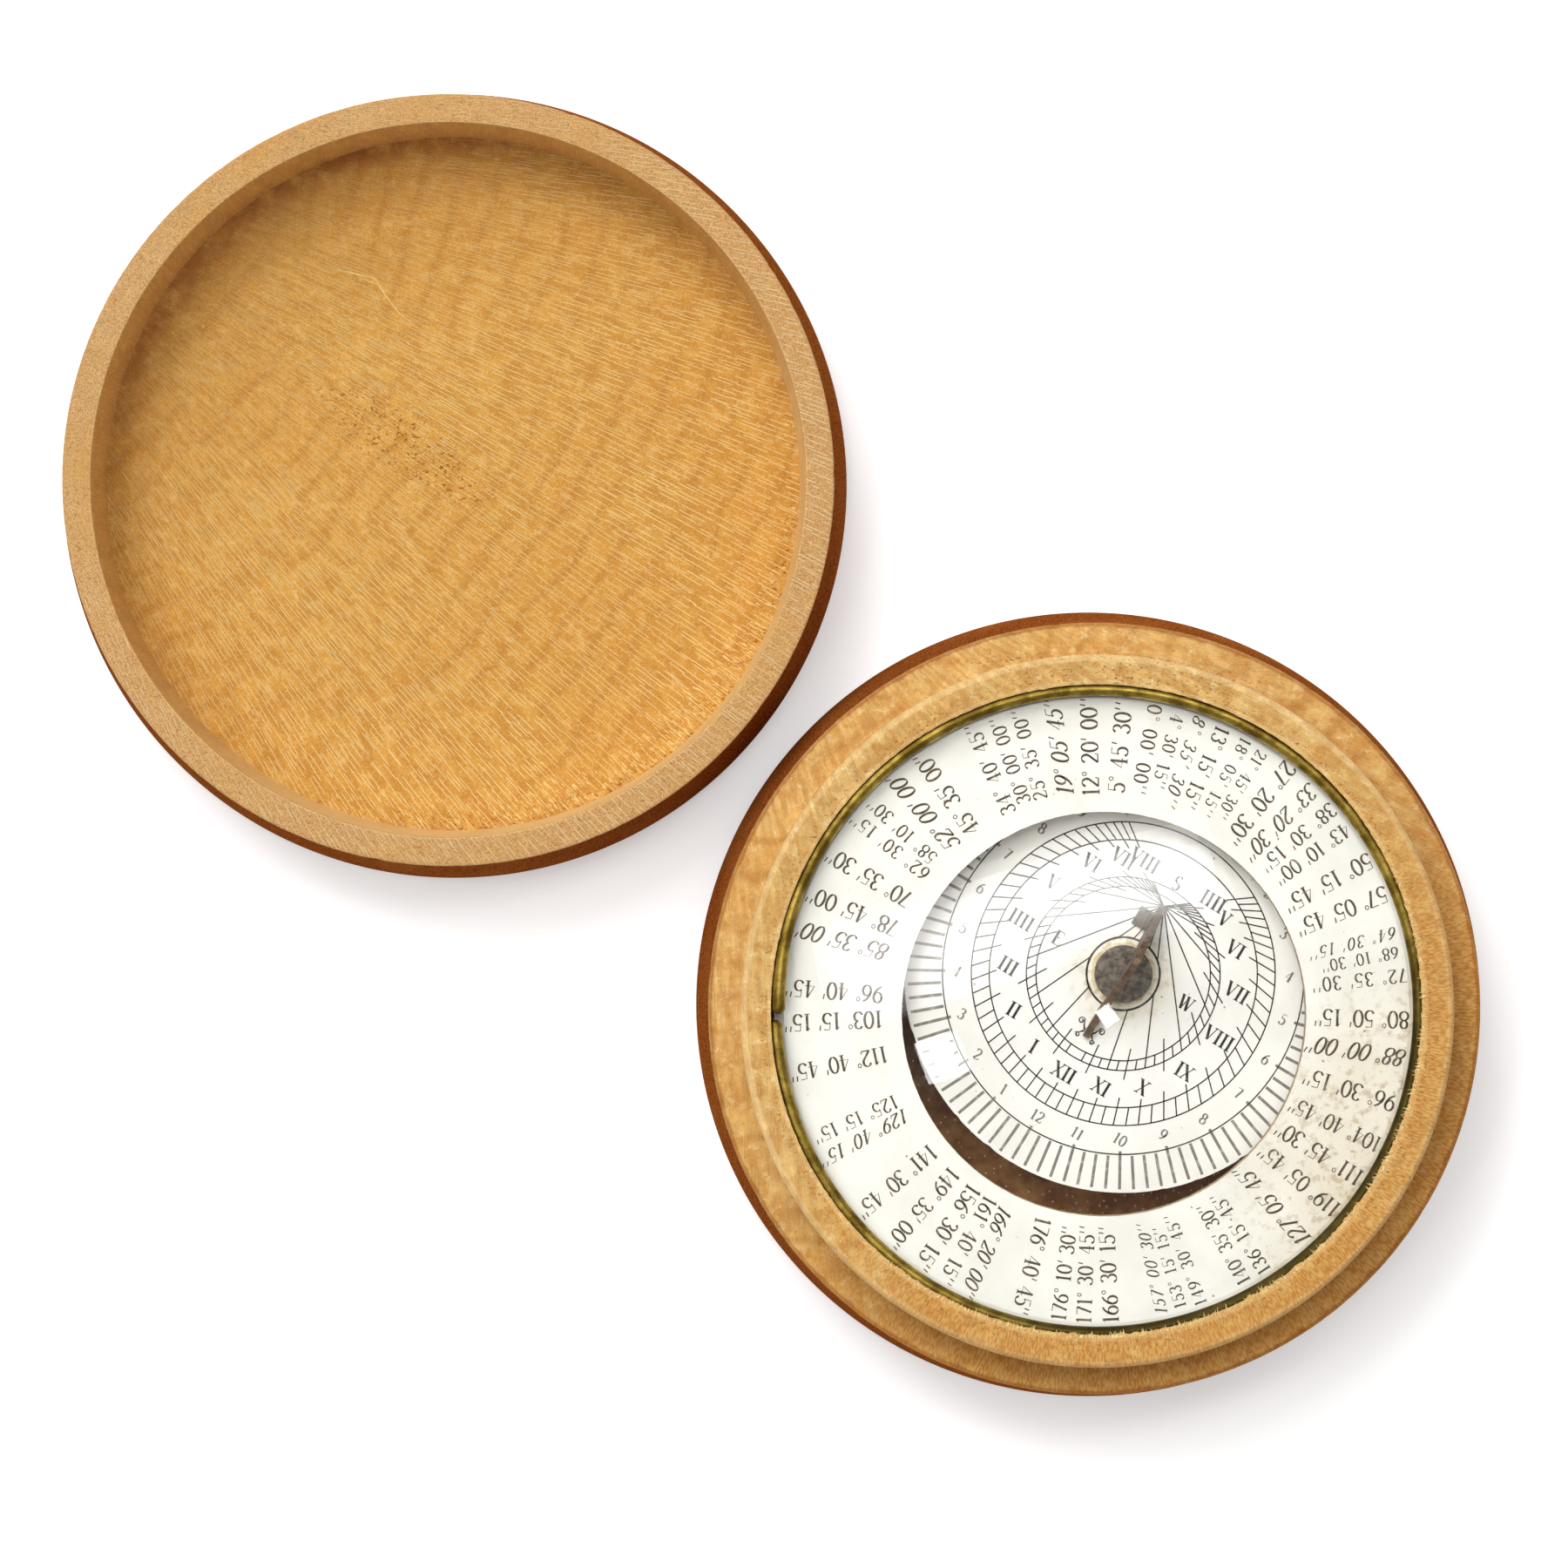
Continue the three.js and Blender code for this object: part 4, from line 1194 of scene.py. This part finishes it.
def card_scale():
    """The soft quarter-hour ticks round the card's edge and the faded clock figures inside them."""
    strokes = []
    for hour in range(24):
        a = math.radians(15 * hour)
        middle = (-CLOCK_FIGURE_R * math.sin(a), -CLOCK_FIGURE_R * math.cos(a))
        strokes += centred(str((hour - 1) % 12 + 1), CLOCK_FIGURE_HEIGHT, middle, 0.08)
    for i in range(SCALE_TICKS):
        a = 360.0 / SCALE_TICKS * i
        inner = SCALE_TICKS_R[0] - (LONG_TICK if i % 4 == 0 else 0.0)
        strokes.append(rule(polar(inner, a), polar(SCALE_TICKS_R[1], a), SCALE_TICK_WIDTH))
    card_ink("card_scale", strokes, FADED_INK)


# Solids that show as they are, with worked materials and bevelled edges

DRESSED = {
    "gnomon": (GNOMON_METAL, 0.08), "gnomon_foot": (FOOT_BRASS, 0.04),
    "ring_board": (BOARD, 0.0), "card_board": (BOARD, 0.0),
    "bowl_floor_lining": (LINING, 0.0), "bowl_wall_lining": (LINING, 0.0),
    "pivot_bush": (INNER_BRASS, 0.05), "cap_washer": (INNER_BRASS, 0.04),
    "magnet_rivet_north": (INNER_BRASS, 0.05), "magnet_rivet_south": (INNER_BRASS, 0.05),
    "pivot_pin": (PIN_STEEL, 0.0), "magnet_bar": (MAGNET_STEEL, 0.06),
    "cap_jewel": (AGATE, 0.0), "balance_wax": (WAX, 0.0),
}


def dress_solids():
    for node, (material, bevel) in DRESSED.items():
        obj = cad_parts[node]
        obj.data.materials.clear()
        obj.data.materials.append(material)
        if bevel:
            modifier = obj.modifiers.new("edges", "BEVEL")
            modifier.width = bevel * MM
            modifier.segments = 2
            modifier.limit_method = "ANGLE"
            modifier.angle_limit = math.radians(40)


# Stage, lamps and camera

CAMERA_PLACE = (-22.88, 16.58, 422.5)
CAMERA_LENS = 127.6
CAMERA_SENSOR = 36.0
FLOOR_HALF = 2500.0
FLOOR_GREY = (0.95, 0.95, 0.95, 1.0)
FLOOR_GLOW = 0.34
WHITE = (1.0, 1.0, 1.0, 1.0)
STRIP_LAYERS = ((530.0, 140.0), (490.0, 104.0), (440.0, 68.0))
AMBIENT_ABOVE = 0.18
AMBIENT_AROUND = 0.5
AIM = (-20.0, 15.0, 0.0)


def stage_floor():
    """A pale floor that shows white to the camera, metal and glass and keeps the object's shadow."""
    h = FLOOR_HALF
    s = Shade("studio_floor", {
        "Roughness": 0.9, "Base Color": FLOOR_GREY, "Specular IOR Level": 0.0, "Emission Color": WHITE,
    })
    path = s.add("LightPath")
    seen = s.math("MAXIMUM", path["Is Camera Ray"], path["Is Glossy Ray"])
    seen = s.math("MAXIMUM", seen, path["Is Transmission Ray"])
    s.set({"Emission Strength": s.times(seen, FLOOR_GLOW)})
    corners = [(-h, -h, 0.0), (h, -h, 0.0), (h, h, 0.0), (-h, h, 0.0)]
    mesh_object("studio_floor", corners, [(0, 1, 2, 3)], s.owner)


def panel(name, place, size, turn, radiance, aim=None, mirrored=True):
    """A lamp panel that hangs level, or faces a point, and sends out that radiance; glass may mirror it."""
    data = bpy.data.lights.new(name, "AREA")
    data.shape = "RECTANGLE"
    data.size = size[0] * MM
    data.size_y = size[1] * MM
    data.energy = radiance * math.pi * data.size * data.size_y
    lamp = linked(name, data)
    lamp.location = Vector(place) * MM
    lamp.visible_glossy = mirrored
    lamp.visible_transmission = mirrored
    lamp.rotation_euler = (0.0, 0.0, math.radians(turn))
    if aim:
        lamp.rotation_euler = (Vector(aim) - Vector(place)).to_track_quat("-Z", "Y").to_euler()


def studio_world():
    """Even light from around, weaker from straight above."""
    s = Shade("studio", {"Color": WHITE}, bpy.data.worlds.new("studio"), "Background")
    height = s.axes(s.add("TexCoord")["Generated"])["Z"]
    s.set({"Strength": s.between(s.step(height, 0.5, 0.85), AMBIENT_AROUND, AMBIENT_ABOVE)})
    bpy.context.scene.world = s.owner


def lamps():
    for i, size in enumerate(STRIP_LAYERS):
        panel(f"strip_softbox_{i}", (-80.0, 92.0, 450.0 - i), size, 17.0, 1.4)
    panel("bright_softbox", (60.0, 130.0, 446.0), (210.0, 70.0), 10.0, 2.5)
    panel("side_softbox", (-300.0, 430.0, 390.0), (440.0, 200.0), 0.0, 3.4, AIM)
    panel("key_softbox", (-195.0, 318.0, 606.0), (300.0, 220.0), 0.0, 9.4, AIM, False)
    panel("left_lamp", (-163.0, -73.0, 450.0), (44.0, 52.0), 20.0, 14.0)
    panel("small_lamp", (32.5, -20.5, 450.0), (18.0, 22.0), 35.0, 14.0)


def camera():
    data = bpy.data.cameras.new("photo_camera")
    data.sensor_width = CAMERA_SENSOR
    data.lens = CAMERA_LENS
    data.clip_start = 0.01
    data.clip_end = 50.0
    obj = linked("photo_camera", data)
    obj.location = Vector(CAMERA_PLACE) * MM
    bpy.context.scene.camera = obj


camera()
case_wood()
lid_wood()
lip_fibres()
lid_fibres()
wire_ring()
domed_glass()
ring_paper()
ring_figures()
card_paper()
hour_lines()
card_letters()
card_scale()
cap_and_torn_paper()
dress_solids()
stage_floor()
studio_world()
lamps()
bpy.context.scene.view_settings.view_transform = "Standard"
